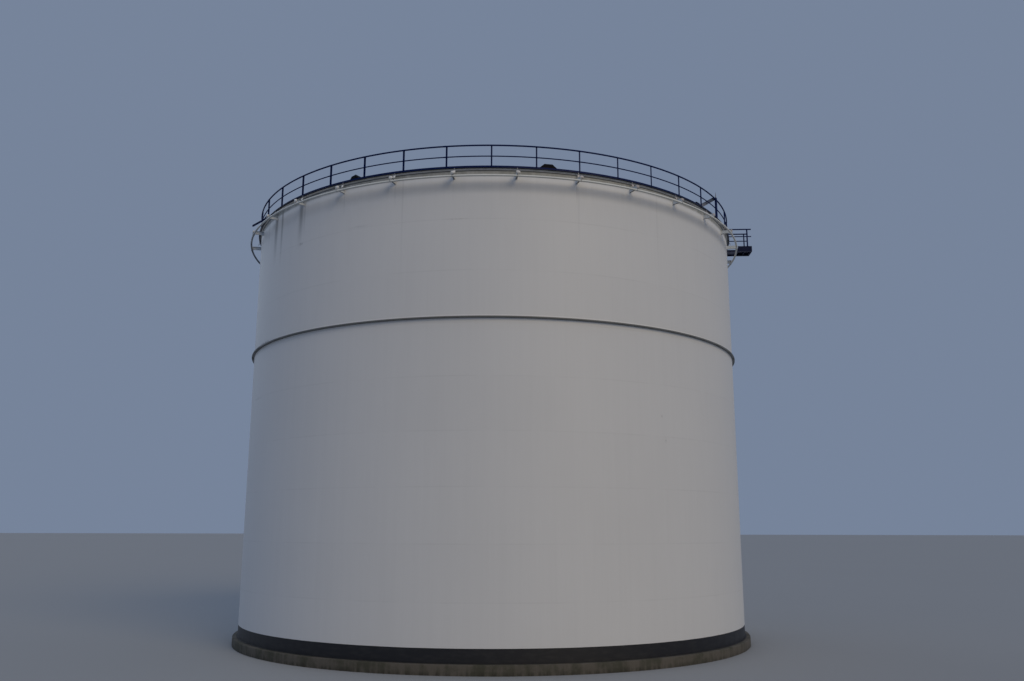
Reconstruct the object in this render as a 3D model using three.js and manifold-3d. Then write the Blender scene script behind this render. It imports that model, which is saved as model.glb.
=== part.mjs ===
// Vertical cylindrical storage tank: a welded shell on a round concrete base, with a shallow cone
// roof, roof vents, a handrail round the rim, a spray pipe on brackets, a wind girder, a hoist post
// in the handrail and the landing of a gangway.
// Millimetres, +Z up, origin on the ground at the tank's centre. An azimuth is in degrees from -Y,
// the front, towards +X.
import * as THREE from "three";
import { mergeVertices } from "three/addons/utils/BufferGeometryUtils.js";
import Module from "manifold-3d";

const wasm = await Module();
wasm.setup();

// Driving dimensions
const GAP = 0.3; // between pieces that touch
const LAP = 1; // solids that are joined into one piece run this far into each other
const FACETS = 96; // flats of the shell, its rings and its base
const SHELL_RADIUS = 12500;
const SHELL_HEIGHT = 19800; // nine courses of 2200
const SHELL_THICKNESS = 12;
const SHELL_SEGMENTS = 8;
const BASE_RADIUS = 12750;
const BASE_HEIGHT = 400;
const BASE_CHAMFER = 25;
const FLOOR_THICKNESS = 10;
const FLOOR_LIP = 60; // the floor plate shows this much beyond the shell
const CURB_LEG = 100; // down the shell
const CURB_FLANGE = 150; // level with the rim, where the handrail stands
const CURB_THICKNESS = 10;
const GIRDER_HEIGHT = 13370; // of the wind girder above the foot of the shell
const GIRDER_LEG = 130;
const GIRDER_LIP = 60;
const GIRDER_THICKNESS = 10;
const ROOF_SLOPE = 1 / 5;
const ROOF_THICKNESS = 8;
const ROOF_EDGE_RADIUS = 12500;
const ROOF_FLAT_RADIUS = 12200; // the roof is flat outside this
const ROOF_EYE_RADIUS = 600; // closed by the crown of the centre vent
const ROOF_QUADRANTS = 4;
const CENTRE_VENT = { facets: 24, lap: 90, plate: 10, neck: 260, eave: 330, hood: 460, skirt: 50, top: 520 };
const VENTS = 9;
const VENT_AZIMUTH = 10.55; // of the middle one of the three at the front
const VENT_PITCH = 41.18; // between those three, in degrees; the others share out the rest
const VENT_RADIUS = 12280; // of the upright outer face
const VENT_TOP = 400; // of the ridge above the rim
const VENT_HOOD = { ridge: 350, width: 940, depth: 480, drop: 250, skirt: 40 };
const VENT_NECK = { width: 600, out: 60, in: 400 }; // its sides stand this far in from the outer face
const FIRST_VENT_TURN = -20; // the first vent is turned by this much on its own neck
const RAIL_AZIMUTH = -0.8; // of post 0
const POST_PITCH = 8.72; // degrees; posts are counted from post 0 towards +X
const POSTS = { first: -30, beam: -7, hoist: 7, last: 9 };
const PANEL_BAYS = 3;
const LONG_PANEL = { post: -7, more: 0.19 }; // the bays of the panel that starts at this post are wider
const SHORT_PANEL = { post: 2, less: 0.27 }; // and those of this one are narrower
const RAIL_RADIUS = 12550;
const RAIL_HEIGHT = 1021; // centre of the top rail above the rim
const MID_RAIL_HEIGHT = 534;
const RAIL_TUBE = 34; // radius of the top rail
const MID_TUBE = 25;
const POST_HALF = 32; // half the width of a post
const KERB = { low: 20, high: 115, thickness: 8 };
const HEAVY_POST = { out: 90, along: 150, top: 1100 };
const HOIST_TIP = { width: 180, end: 8, height: 290, thickness: 12 };
const ARM = { azimuth: 50, depth: 170, thickness: 12, foot: 20, head: 1095, top: 1096 };
const PIPE_RADIUS = 44.5;
const PIPE_SIDES = 6;
const PIPE_RING_RADIUS = 12990;
const PIPE_DROP = 490; // centre of the spray pipe below the rim
const PIPE_SECTIONS = 6;
const PIPE_STEPS = 3; // straight lengths of pipe from bracket to bracket
const BRACKETS = 30;
const BRACKET_AZIMUTH = 4;
const BRACKET = { width: 70, depth: 165, thickness: 8, reach: 13045, sink: 2 };
const BRACKET_PAD = { width: 120, low: -25, high: 190, thickness: 10 };
const CUT_BACK = 60; // pieces fixed to the rim start this far inside the shell and are cut at its face
const LANDING_AZIMUTH = 86;
const LANDING = { start: 12577, step: 13250, end: 14000, width: 820, top: 250, depth: 307 };
const LANDING_STEEL = { girder: 60, plate: 12, splice: 15 }; // thicknesses
const LANDING_DECK = { low: 40, high: 150 }; // tops of the step and of the deck above the rim
const LANDING_RAIL = { start: 12576.7, post: 13775, end: 13990, top: 1210, middle: 802 };
const BEAM = { lean: 12.5, back: 40, ahead: 1530, width: 60, height: 80 };
const BEAM_KNEE = { top: 250, level: 20, foot: 450, thickness: 12 };

// Heights that follow from these
const FLOOR_Z = BASE_HEIGHT + GAP;
const SHELL_Z = FLOOR_Z + FLOOR_THICKNESS + GAP;
const RIM_Z = SHELL_Z + SHELL_HEIGHT;
const ROOF_Z = RIM_Z + GAP;
const ROOF_TOP_Z = ROOF_Z + ROOF_THICKNESS;
const ROOF_RISE = (ROOF_FLAT_RADIUS - ROOF_EYE_RADIUS) * ROOF_SLOPE;
const LANDING_JAMB = THREE.MathUtils.radToDeg(Math.asin(LANDING.width / 2 / RAIL_RADIUS));

const paint = (color, roughness) => new THREE.MeshStandardMaterial({ color, roughness, metalness: 0 });
const WHITE_PAINT = paint(0xd9dadb, 0.5);
const NAVY_PAINT = paint(0x1a2740, 0.5);
const DARK_PAINT = paint(0x221f22, 0.6);
const GREY_PAINT = paint(0x9a9ca2, 0.5);
const CONCRETE = paint(0x6b6558, 0.9);

const tank = new THREE.Group();
const rad = THREE.MathUtils.degToRad;

function add(name, geometry, material) {
  const mesh = new THREE.Mesh(geometry, material);
  mesh.name = name;
  tank.add(mesh);
}

// Solids and booleans
function solid(geometry) {
  const plain = geometry.clone();
  plain.deleteAttribute("normal");
  plain.deleteAttribute("uv");
  const merged = mergeVertices(plain, 1e-3);
  const vertProperties = merged.attributes.position.array;
  const triVerts = new Uint32Array(merged.index.array);
  return new wasm.Manifold(new wasm.Mesh({ numProp: 3, vertProperties, triVerts }));
}

function join(geometries) {
  return geometries.map(solid).reduce((sum, next) => sum.add(next));
}

function geometryOf(body) {
  const { vertProperties, triVerts } = body.getMesh();
  return new THREE.BufferGeometry()
    .setAttribute("position", new THREE.BufferAttribute(vertProperties, 3))
    .setIndex(new THREE.BufferAttribute(triVerts, 1));
}

// An arc round the tank's axis, for a section that is swept along it
class RimArc extends THREE.Curve {
  constructor(radius, from, to, z) {
    super();
    Object.assign(this, { radius, from, to, z });
  }
  azimuth(t) {
    return rad(this.from + (this.to - this.from) * t);
  }
  getPoint(t) {
    const a = this.azimuth(t);
    return new THREE.Vector3(this.radius * Math.sin(a), -this.radius * Math.cos(a), this.z);
  }
  getTangent(t) {
    const a = this.azimuth(t);
    return new THREE.Vector3(Math.cos(a), Math.sin(a), 0);
  }
}

// A section is a list of [outward, up] points, measured from the arc.
function sweep(section, radius, from, to, z, steps) {
  const shape = new THREE.Shape(section.map(([out, up]) => new THREE.Vector2(-up, -out)));
  const extrudePath = new RimArc(radius, from, to, z);
  return new THREE.ExtrudeGeometry(shape, { steps, extrudePath });
}

// A closed ring, or a disc where the profile starts and ends on the axis: [radius, z] points
function turned(profile, facets = FACETS) {
  const points = profile.map(([r, z]) => new THREE.Vector2(r, z));
  return new THREE.LatheGeometry(points, facets).rotateX(Math.PI / 2);
}

function closed(profile) {
  return [...profile, profile[0]];
}

function rectangle(outLow, outHigh, low, high) {
  return [[outLow, low], [outHigh, low], [outHigh, high], [outLow, high]];
}

// A many-sided round section with a flat at its top and its foot
function roundSection(radius, sides) {
  return Array.from({ length: sides }, (_, i) => {
    const a = (i / sides + (sides % 4 ? 0 : 0.5 / sides)) * 2 * Math.PI;
    return [radius * Math.cos(a), radius * Math.sin(a)];
  });
}

// Local pieces are drawn with X outward, Y along the rim and Z up, then turned to an azimuth.
function turnTo(geometry, azimuth) {
  return geometry.rotateZ(rad(azimuth - 90));
}

function block(xLow, xHigh, yLow, yHigh, zLow, zHigh) {
  return new THREE.BoxGeometry(xHigh - xLow, yHigh - yLow, zHigh - zLow).translate(
    (xLow + xHigh) / 2,
    (yLow + yHigh) / 2,
    (zLow + zHigh) / 2,
  );
}

function upright(x, y, zLow, zHigh) {
  return block(x - POST_HALF, x + POST_HALF, y - POST_HALF, y + POST_HALF, zLow, zHigh);
}

// A plate across X from 0 to its thickness, with an outline of [y, z] points
function uprightPlate(outline, thickness) {
  const shape = new THREE.Shape(outline.map(([y, z]) => new THREE.Vector2(y, z)));
  return new THREE.ExtrudeGeometry(shape, { depth: thickness, bevelEnabled: false })
    .rotateX(Math.PI / 2)
    .rotateZ(Math.PI / 2);
}

// The angle, in degrees, that a length along an arc takes up
function arcAngle(length, radius) {
  return THREE.MathUtils.radToDeg(length / radius);
}

// Everything that pieces fixed to the rim must clear: the shell, its curb angle and the roof's edge
const rimEnvelope = solid(
  turned([
    [0, SHELL_Z],
    [SHELL_RADIUS + GAP, SHELL_Z],
    [SHELL_RADIUS + GAP, RIM_Z - CURB_LEG - GAP],
    [SHELL_RADIUS + CURB_THICKNESS + 2 * GAP, RIM_Z - CURB_LEG - GAP],
    [SHELL_RADIUS + CURB_THICKNESS + 2 * GAP, RIM_Z - CURB_THICKNESS - GAP],
    [SHELL_RADIUS + CURB_FLANGE + 2 * GAP, RIM_Z - CURB_THICKNESS - GAP],
    [SHELL_RADIUS + CURB_FLANGE + 2 * GAP, ROOF_Z],
    [ROOF_EDGE_RADIUS + GAP, ROOF_Z],
    [ROOF_EDGE_RADIUS + GAP, ROOF_TOP_Z + GAP],
    [ROOF_FLAT_RADIUS, ROOF_TOP_Z + GAP],
    [ROOF_EYE_RADIUS, ROOF_TOP_Z + ROOF_RISE + GAP],
    [0, ROOF_TOP_Z + ROOF_RISE + GAP],
  ]),
);

function buildBase() {
  const disc = [
    [0, 0],
    [BASE_RADIUS, 0],
    [BASE_RADIUS, BASE_HEIGHT - BASE_CHAMFER],
    [BASE_RADIUS - BASE_CHAMFER, BASE_HEIGHT],
    [0, BASE_HEIGHT],
  ];
  add("concrete_base", turned(disc), CONCRETE);
  const plate = rectangle(0, SHELL_RADIUS + FLOOR_LIP, FLOOR_Z, FLOOR_Z + FLOOR_THICKNESS);
  add("floor_plate", turned(plate), DARK_PAINT);
}

function buildShell() {
  const span = 360 / SHELL_SEGMENTS;
  const inset = arcAngle(GAP / 2, SHELL_RADIUS);
  const wall = rectangle(-SHELL_THICKNESS, 0, 0, SHELL_HEIGHT);
  for (let i = 0; i < SHELL_SEGMENTS; i++) {
    const from = i * span + inset;
    const to = (i + 1) * span - inset;
    const segment = sweep(wall, SHELL_RADIUS, from, to, SHELL_Z, FACETS / SHELL_SEGMENTS);
    add(`shell_segment_${i + 1}`, segment, WHITE_PAINT);
  }
}

// Two angle rings on the shell: the curb angle flush with the rim and the wind girder lower down
function buildRings() {
  const face = SHELL_RADIUS + GAP;
  const curb = [
    [face, RIM_Z - CURB_LEG],
    [face + CURB_THICKNESS, RIM_Z - CURB_LEG],
    [face + CURB_THICKNESS, RIM_Z - CURB_THICKNESS],
    [face + CURB_FLANGE, RIM_Z - CURB_THICKNESS],
    [face + CURB_FLANGE, RIM_Z],
    [face, RIM_Z],
  ];
  add("curb_angle", turned(closed(curb)), WHITE_PAINT);
  const z = SHELL_Z + GIRDER_HEIGHT;
  const girder = [
    [face, z],
    [face + GIRDER_LEG, z],
    [face + GIRDER_LEG, z + GIRDER_LIP],
    [face + GIRDER_LEG - GIRDER_THICKNESS, z + GIRDER_LIP],
    [face + GIRDER_LEG - GIRDER_THICKNESS, z + GIRDER_THICKNESS],
    [face, z + GIRDER_THICKNESS],
  ];
  add("wind_girder", turned(closed(girder)), WHITE_PAINT);
}

function buildRoof() {
  const flat = ROOF_FLAT_RADIUS - ROOF_EDGE_RADIUS;
  const eye = ROOF_EYE_RADIUS - ROOF_EDGE_RADIUS;
  const sheet = [
    [0, 0],
    [0, ROOF_THICKNESS],
    [flat, ROOF_THICKNESS],
    [eye, ROOF_RISE + ROOF_THICKNESS],
    [eye, ROOF_RISE],
    [flat, 0],
  ];
  const span = 360 / ROOF_QUADRANTS;
  const inset = arcAngle(GAP / 2, ROOF_EYE_RADIUS);
  for (let i = 0; i < ROOF_QUADRANTS; i++) {
    const from = (i - 0.5) * span + inset;
    const to = (i + 0.5) * span - inset;
    const quadrant = sweep(sheet, ROOF_EDGE_RADIUS, from, to, ROOF_Z, FACETS / ROOF_QUADRANTS);
    add(`roof_quadrant_${i + 1}`, quadrant, WHITE_PAINT);
  }
}

function buildCentreVent() {
  const z = ROOF_TOP_Z + ROOF_RISE + GAP;
  const { facets, lap, plate, neck, eave, hood, skirt, top } = CENTRE_VENT;
  const profile = [
    [0, z],
    [ROOF_EYE_RADIUS + lap, z],
    [ROOF_EYE_RADIUS + lap, z + plate],
    [neck, z + plate],
    [neck, z + eave],
    [hood, z + eave],
    [hood, z + eave + skirt],
    [0, z + top],
  ];
  add("centre_vent", turned(profile, facets), GREY_PAINT);
}

// A neck on the roof under a hood with an upright outer face, whose ridge is at the top of that face
function ventGeometry(azimuth, turn) {
  const { ridge, width, depth, drop, skirt } = VENT_HOOD;
  const top = RIM_Z + VENT_TOP;
  const eave = top - drop;
  const inner = VENT_RADIUS - depth;
  const corners = [-width / 2, width / 2].flatMap((y) => [
    [VENT_RADIUS, y, eave],
    [inner, y, eave],
    [VENT_RADIUS, y, eave - skirt],
    [inner, y, eave - skirt],
  ]);
  const ridgeEnds = [-ridge / 2, ridge / 2].map((y) => [VENT_RADIUS, y, top]);
  const hood = wasm.Manifold.hull([...corners, ...ridgeEnds]);
  const side = VENT_NECK.width / 2;
  const neck = block(VENT_RADIUS - VENT_NECK.in, VENT_RADIUS - VENT_NECK.out, -side, side, RIM_Z, eave + LAP);
  const vent = hood
    .add(solid(neck))
    .translate([-VENT_RADIUS, 0, 0])
    .rotate([0, 0, turn])
    .translate([VENT_RADIUS, 0, 0])
    .rotate([0, 0, azimuth - 90]);
  return geometryOf(vent.subtract(rimEnvelope));
}

function buildVents() {
  const rest = (360 - 2 * VENT_PITCH) / (VENTS - 2);
  for (let i = 0; i < VENTS; i++) {
    const along = i < 3 ? (i - 1) * VENT_PITCH : VENT_PITCH + (i - 2) * rest;
    const turn = i === 0 ? FIRST_VENT_TURN : 0;
    add(`roof_vent_${i + 1}`, ventGeometry(VENT_AZIMUTH + along, turn), DARK_PAINT);
  }
}

// Handrail on the curb angle: a panel is two rails and a kerb plate, joined by the posts that they
// pass. The posts on either side of the landing, the jambs, stand taller.
const POST_FOOT = RIM_Z + GAP;

function postAzimuth(index) {
  const bays = (count) => THREE.MathUtils.clamp(count, 0, PANEL_BAYS);
  const wider = LONG_PANEL.more * bays(LONG_PANEL.post + PANEL_BAYS - index);
  const narrower = SHORT_PANEL.less * bays(index - SHORT_PANEL.post);
  return RAIL_AZIMUTH + index * POST_PITCH - wider - narrower;
}

function railPanel(from, to, posts, jamb) {
  const steps = Math.max(2, Math.round((to - from) / (POST_PITCH / 2)));
  const run = (section, height) => sweep(section, RAIL_RADIUS, from, to, RIM_Z + height, steps);
  const kerb = rectangle(-KERB.thickness / 2, KERB.thickness / 2, KERB.low, KERB.high);
  const pieces = [
    run(roundSection(RAIL_TUBE, 6), RAIL_HEIGHT),
    run(roundSection(MID_TUBE, 4), MID_RAIL_HEIGHT),
    run(kerb, 0),
  ];
  for (const azimuth of posts) {
    const high = azimuth === jamb ? LANDING_RAIL.top + RAIL_TUBE : RAIL_HEIGHT;
    pieces.push(turnTo(upright(RAIL_RADIUS, 0, POST_FOOT, RIM_Z + high), azimuth));
  }
  return geometryOf(join(pieces));
}

function buildHandrail() {
  const flat = arcAngle(POST_HALF, RAIL_RADIUS);
  const seat = arcAngle(POST_HALF + GAP, RAIL_RADIUS);
  const hoistSeat = arcAngle(HEAVY_POST.along / 2 + GAP, RAIL_RADIUS);
  const jambs = { start: LANDING_AZIMUTH + LANDING_JAMB - 360, end: LANDING_AZIMUTH - LANDING_JAMB };
  const stops = [jambs.start];
  for (let k = POSTS.first; k < POSTS.hoist; k++) stops.push(postAzimuth(k));
  let count = 0;
  for (let i = 0; i < stops.length; i += PANEL_BAYS) {
    const posts = stops.slice(i, i + PANEL_BAYS);
    const next = stops[i + PANEL_BAYS];
    const end = next === undefined ? postAzimuth(POSTS.hoist) - hoistSeat : next - seat;
    count += 1;
    add(`handrail_panel_${count}`, railPanel(posts[0] - flat, end, posts, jambs.start), NAVY_PAINT);
  }
  const last = [jambs.end];
  for (let k = POSTS.last; k > POSTS.hoist; k--) last.unshift(postAzimuth(k));
  const start = postAzimuth(POSTS.hoist) + hoistSeat;
  const panel = railPanel(start, jambs.end + flat, last, jambs.end);
  add(`handrail_panel_${count + 1}`, panel, NAVY_PAINT);
}

// A heavier post in the handrail's line under a pointed plate, and the raking arm that stays it
function heavyPost(grow) {
  const halfOut = HEAVY_POST.out / 2 + grow;
  const halfAlong = HEAVY_POST.along / 2 + grow;
  const top = RIM_Z + HEAVY_POST.top + grow;
  return block(RAIL_RADIUS - halfOut, RAIL_RADIUS + halfOut, -halfAlong, halfAlong, POST_FOOT, top);
}

function buildHoistPost() {
  const azimuth = postAzimuth(POSTS.hoist);
  add("hoist_post", turnTo(heavyPost(0), azimuth), NAVY_PAINT);

  const { width, end, height, thickness } = HOIST_TIP;
  const outline = [[-width / 2, 0], [width / 2, 0], [end / 2, height], [-end / 2, height]];
  const tip = uprightPlate(outline, thickness).translate(
    RAIL_RADIUS - thickness / 2,
    0,
    RIM_Z + HEAVY_POST.top + GAP,
  );
  add("hoist_tip", turnTo(tip, azimuth), GREY_PAINT);

  const radius = RAIL_RADIUS - HEAVY_POST.out / 2 - ARM.thickness / 2;
  const turn = rad((azimuth - ARM.azimuth) / 2);
  const run = 2 * radius * Math.sin(turn);
  const rise = ARM.head - ARM.foot;
  const length = Math.hypot(run, rise) + ARM.depth;
  const lean = Math.atan2(rise, run);
  const arm = new THREE.BoxGeometry(ARM.thickness, length, ARM.depth)
    .rotateX(lean)
    .translate(radius * Math.cos(turn), 0, RIM_Z + (ARM.head + ARM.foot) / 2);
  const far = 2 * RAIL_RADIUS;
  const above = RIM_Z + ARM.top;
  const cuts = [
    block(0, far, -far, far, above, above + far),
    block(0, far, -far, far, 0, POST_FOOT),
    block(0, far, 0, far, 0, above + far),
  ];
  const body = [...cuts, heavyPost(GAP)].reduce(
    (arm, cut) => arm.subtract(solid(turnTo(cut, azimuth))),
    solid(turnTo(arm, azimuth - THREE.MathUtils.radToDeg(turn))).subtract(rimEnvelope),
  );
  add("hoist_arm", geometryOf(body), GREY_PAINT);
}

// Spray pipe: each section hangs under its brackets, which are channels with pads on the shell
function bracketParts(azimuth) {
  const seat = RIM_Z - PIPE_DROP + PIPE_RADIUS * Math.cos(Math.PI / PIPE_SIDES) - BRACKET.sink;
  const half = BRACKET.width / 2;
  const inner = SHELL_RADIUS - CUT_BACK;
  const top = seat + BRACKET.depth;
  const channel = [
    block(inner, BRACKET.reach, -half, half, seat, seat + BRACKET.thickness),
    block(inner, BRACKET.reach, -half, -half + BRACKET.thickness, seat, top),
    block(inner, BRACKET.reach, -half, half, top - BRACKET.thickness, top),
  ];
  const face = SHELL_RADIUS + BRACKET_PAD.thickness;
  const side = BRACKET_PAD.width / 2;
  const pad = block(inner, face, -side, side, seat + BRACKET_PAD.low, seat + BRACKET_PAD.high);
  return [...channel, pad].map((g) => turnTo(g, azimuth));
}

function buildSprayPipe() {
  const span = 360 / PIPE_SECTIONS;
  const pitch = 360 / BRACKETS;
  const inset = arcAngle(GAP / 2, PIPE_RING_RADIUS);
  const perSection = BRACKETS / PIPE_SECTIONS;
  const steps = perSection * PIPE_STEPS;
  for (let i = 0; i < PIPE_SECTIONS; i++) {
    const start = BRACKET_AZIMUTH - pitch / 2 + i * span;
    const end = start + span;
    const section = roundSection(PIPE_RADIUS, PIPE_SIDES);
    const parts = [sweep(section, PIPE_RING_RADIUS, start + inset, end - inset, RIM_Z - PIPE_DROP, steps)];
    for (let j = 0; j < perSection; j++) {
      parts.push(...bracketParts(BRACKET_AZIMUTH + i * span + j * pitch));
    }
    add(`spray_pipe_${i + 1}`, geometryOf(join(parts).subtract(rimEnvelope)), WHITE_PAINT);
  }
}

// A short beam that starts on the curb angle against a post, runs out past the rim and is held by a
// knee plate on the post's outer face
function buildRimBeam() {
  const half = BEAM.width / 2;
  const lean = rad(BEAM.lean);
  const low = RIM_Z + GAP;
  const top = low + BEAM.height;
  const beam = block(-half, half, -BEAM.ahead, BEAM.back, low, top);
  const outline = [
    [POST_HALF, top - LAP],
    [POST_HALF, RIM_Z + BEAM_KNEE.top],
    [-BEAM_KNEE.level, RIM_Z + BEAM_KNEE.top],
    [-BEAM_KNEE.foot, top],
    [-BEAM_KNEE.foot, top - LAP],
  ];
  const knee = uprightPlate(outline, BEAM_KNEE.thickness).translate(-half, 0, 0);
  const line = RAIL_RADIUS + POST_HALF + GAP + half / Math.cos(lean) + POST_HALF * Math.tan(lean);
  const place = (g) => turnTo(g.rotateZ(lean).translate(line, 0, 0), postAzimuth(POSTS.beam));
  add("rim_beam", geometryOf(join([beam, knee].map(place))), NAVY_PAINT);
}

// The landing: two girders whose ends are coped to lie on the curb angle, a step and a deck between
// them, and the plate where a gangway bolts on
function buildLanding() {
  const half = LANDING.width / 2;
  const web = LANDING_STEEL.girder / 2;
  const side = half + web;
  const low = RIM_Z + LANDING.top - LANDING.depth;
  const top = RIM_Z + LANDING.top;
  const step = RIM_Z + LANDING_DECK.low;
  const deck = RIM_Z + LANDING_DECK.high;
  const inner = SHELL_RADIUS - CUT_BACK;
  const plate = (xLow, xHigh, zLow, zHigh) => block(xLow, xHigh, -side, side, zLow, zHigh);
  const parts = [-half, half].flatMap((y) => [
    block(inner, LANDING.step + LAP, y - web, y + web, low, step),
    block(LANDING.step, LANDING.end, y - web, y + web, low, top),
  ]);
  parts.push(plate(inner, LANDING.step + LAP, step - LANDING_STEEL.plate, step));
  parts.push(plate(LANDING.step, LANDING.step + LANDING_STEEL.plate, step - LANDING_STEEL.plate, deck));
  parts.push(plate(LANDING.step, LANDING.end, deck - LANDING_STEEL.plate, deck));
  parts.push(plate(LANDING.end - LANDING_STEEL.splice, LANDING.end, low, top));
  const clear = block(0, LANDING.start, -2 * side, 2 * side, RIM_Z, top);
  const frame = join(parts.map((g) => turnTo(g, LANDING_AZIMUTH)))
    .subtract(rimEnvelope)
    .subtract(solid(turnTo(clear, LANDING_AZIMUTH)));
  add("landing_frame", geometryOf(frame), NAVY_PAINT);

  const { start, post, end } = LANDING_RAIL;
  const bar = (radius, y, height) =>
    new THREE.CylinderGeometry(radius, radius, end - start, 6)
      .rotateZ(Math.PI / 2)
      .translate((start + end) / 2, y, RIM_Z + height);
  for (const [y, name] of [[-half, "landing_rail_near"], [half, "landing_rail_far"]]) {
    const pieces = [
      bar(RAIL_TUBE, y, LANDING_RAIL.top),
      bar(MID_TUBE, y, LANDING_RAIL.middle),
      upright(post, y, top + GAP, RIM_Z + LANDING_RAIL.top),
    ];
    add(name, geometryOf(join(pieces.map((g) => turnTo(g, LANDING_AZIMUTH)))), NAVY_PAINT);
  }
}

buildBase();
buildShell();
buildRings();
buildRoof();
buildCentreVent();
buildVents();
buildHandrail();
buildHoistPost();
buildSprayPipe();
buildRimBeam();
buildLanding();

export default tank;
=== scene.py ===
"""Looks of the vertical storage tank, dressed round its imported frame.

Metres, +Z up, origin on the ground at the tank's centre. An azimuth is in degrees from -Y, the
front, towards +X. Local shapes are drawn with X outward, Y along the rim and Z up.
"""

import math

import bpy
import numpy as np
from mathutils import Matrix, Vector


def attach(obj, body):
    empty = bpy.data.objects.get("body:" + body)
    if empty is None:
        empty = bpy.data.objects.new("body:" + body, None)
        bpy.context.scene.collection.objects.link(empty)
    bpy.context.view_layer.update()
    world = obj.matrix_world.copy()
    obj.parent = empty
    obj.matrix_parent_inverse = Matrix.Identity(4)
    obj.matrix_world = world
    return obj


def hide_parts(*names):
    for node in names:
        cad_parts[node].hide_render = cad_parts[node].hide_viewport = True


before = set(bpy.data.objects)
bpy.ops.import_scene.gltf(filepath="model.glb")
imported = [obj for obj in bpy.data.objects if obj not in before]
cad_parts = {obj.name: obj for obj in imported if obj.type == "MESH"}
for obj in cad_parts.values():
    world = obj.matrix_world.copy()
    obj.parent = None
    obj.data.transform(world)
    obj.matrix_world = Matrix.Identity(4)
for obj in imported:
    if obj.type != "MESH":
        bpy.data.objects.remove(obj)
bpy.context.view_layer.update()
scene = bpy.context.scene

# Sizes that the frame has too
GAP = 0.0003  # between solids that touch

BASE_RADIUS = 12.75
BASE_HEIGHT = 0.4
FLOOR_RADIUS = 12.56
SHELL_RADIUS = 12.5
SHELL_THICKNESS = 0.012
SHELL_FOOT = 0.4106
SEGMENTS = 8
COURSE_HEIGHT = 2.2
COURSES = 9
RIM = SHELL_FOOT + COURSES * COURSE_HEIGHT
CURB_LEG = 0.1
CURB_FLANGE = 0.15
RING_HEIGHT = SHELL_FOOT + 13.37
RING_LEG = 0.13
RING_LIP = 0.06

ROOF_Z = RIM + GAP
ROOF_SHEET = 0.008
ROOF_EDGE = 12.5
ROOF_FLAT = 12.2
ROOF_EYE = 0.6
ROOF_SLOPE = 0.2

RAIL_RADIUS = 12.55
RAIL_AZIMUTH = -0.8  # of post 0
POST_PITCH = 8.72
FIRST_POST, BEAM_POST, HOIST_POST, LAST_POST = -30, -7, 7, 9
PANEL_BAYS = 3
LONG_PANEL, LONGER_BY = -7, 0.19  # the post where the panel with wider bays starts
SHORT_PANEL, SHORTER_BY = 2, 0.27
TOP_RAIL = 1.021
MID_RAIL = 0.534
JAMB_HEIGHT = 1.235  # of the posts beside the landing
KERB_LOW, KERB_HIGH = 0.02, 0.115
KERB_HALF = 0.004
POST_FOOT = RIM + GAP
POST_HALF = 0.032
ANGLE_THICKNESS = 0.008
RAIL_TUBE = 0.034
MID_TUBE = 0.025

PIPE_RING = 12.99
PIPE_DROP = 0.49
PIPE_RADIUS = 0.0445
PIPE_SECTIONS = 6
BRACKETS = 30
BRACKET_AZIMUTH = 4.0
BRACKET_STEP = 360 / BRACKETS

LANDING_AZIMUTH = 86.0
LANDING_HALF = 0.41
LANDING_JAMB = math.degrees(math.asin(LANDING_HALF / RAIL_RADIUS))

VENT_AZIMUTH = 10.55  # of the middle one of the three at the front
VENT_PITCH = 41.18
VENTS = 9
VENT_FACE = 12.28  # radius of the upright outer face
VENT_TOP = RIM + 0.400
FIRST_VENT_TURN = -20.0

# Sizes of the fine surface
PLATES_ROUND = 10
PLATE_STEP = 360 / PLATES_ROUND
SEAM_COURSE = 5  # counted from 0 at the foot
SEAM_AZIMUTH = -0.7  # of an upright seam in that course
SEAM_SHIFT = 12.0  # from a course to the one below it
TAR_HEIGHT = 0.545  # of the black foot, up the shell
CAST_BAY = 12  # degrees from a joint of the plinth to the next
GIRDER_JOINTS = 12
ROOF_LAP = 0.005  # the step up from a ring of roof sheets to the next one inward
# Rings of roof sheets: outer and inner radius, sheets round, azimuth of a lap
ROOF_RINGS = ((12.2, 8.45, 36, 3.0), (8.45, 4.45, 24, 5.0), (4.45, 0.75, 12, 11.0))
SLEEVE = 0.003  # a rail's sleeve is this much thicker than the rail

# The photo's camera, from the circles of the rim, the stiffener and the foot
CAMERA_PLACE = (0, -48.401, 5.395)
CAMERA_YAW, CAMERA_PITCH, CAMERA_ROLL = 0.01957, 0.20438, 0.00239
FOCAL_LENGTH_PX = 908.14
PHOTO_WIDTH_PX = 1024
SENSOR_MM = 36


def make_camera():
    yaw, pitch, roll = CAMERA_YAW, CAMERA_PITCH, CAMERA_ROLL
    right = Vector((math.cos(yaw), -math.sin(yaw), 0))
    level = Vector((math.sin(yaw), math.cos(yaw), 0))
    ahead = math.cos(pitch) * level + Vector((0, 0, math.sin(pitch)))
    up = right.cross(ahead)
    x_axis = math.cos(roll) * right + math.sin(roll) * up
    y_axis = math.cos(roll) * up - math.sin(roll) * right
    camera = bpy.data.objects.new("camera", bpy.data.cameras.new("camera"))
    turn = Matrix((x_axis, y_axis, -ahead)).transposed().to_4x4()
    camera.matrix_world = Matrix.Translation(CAMERA_PLACE) @ turn
    camera.data.sensor_width = SENSOR_MM
    camera.data.lens = FOCAL_LENGTH_PX * SENSOR_MM / PHOTO_WIDTH_PX
    camera.data.clip_end = 2000
    scene.collection.objects.link(camera)
    scene.camera = camera


make_camera()


def node(tree, kind, inputs=None, **settings):
    """A new node. Each input is a value, or the socket that feeds it."""
    made = tree.nodes.new(kind)
    for name, value in settings.items():
        setattr(made, name, value)
    for name, value in (inputs or {}).items():
        if isinstance(value, bpy.types.NodeSocket):
            tree.links.new(value, made.inputs[name])
        else:
            made.inputs[name].default_value = value
    return made


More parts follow.
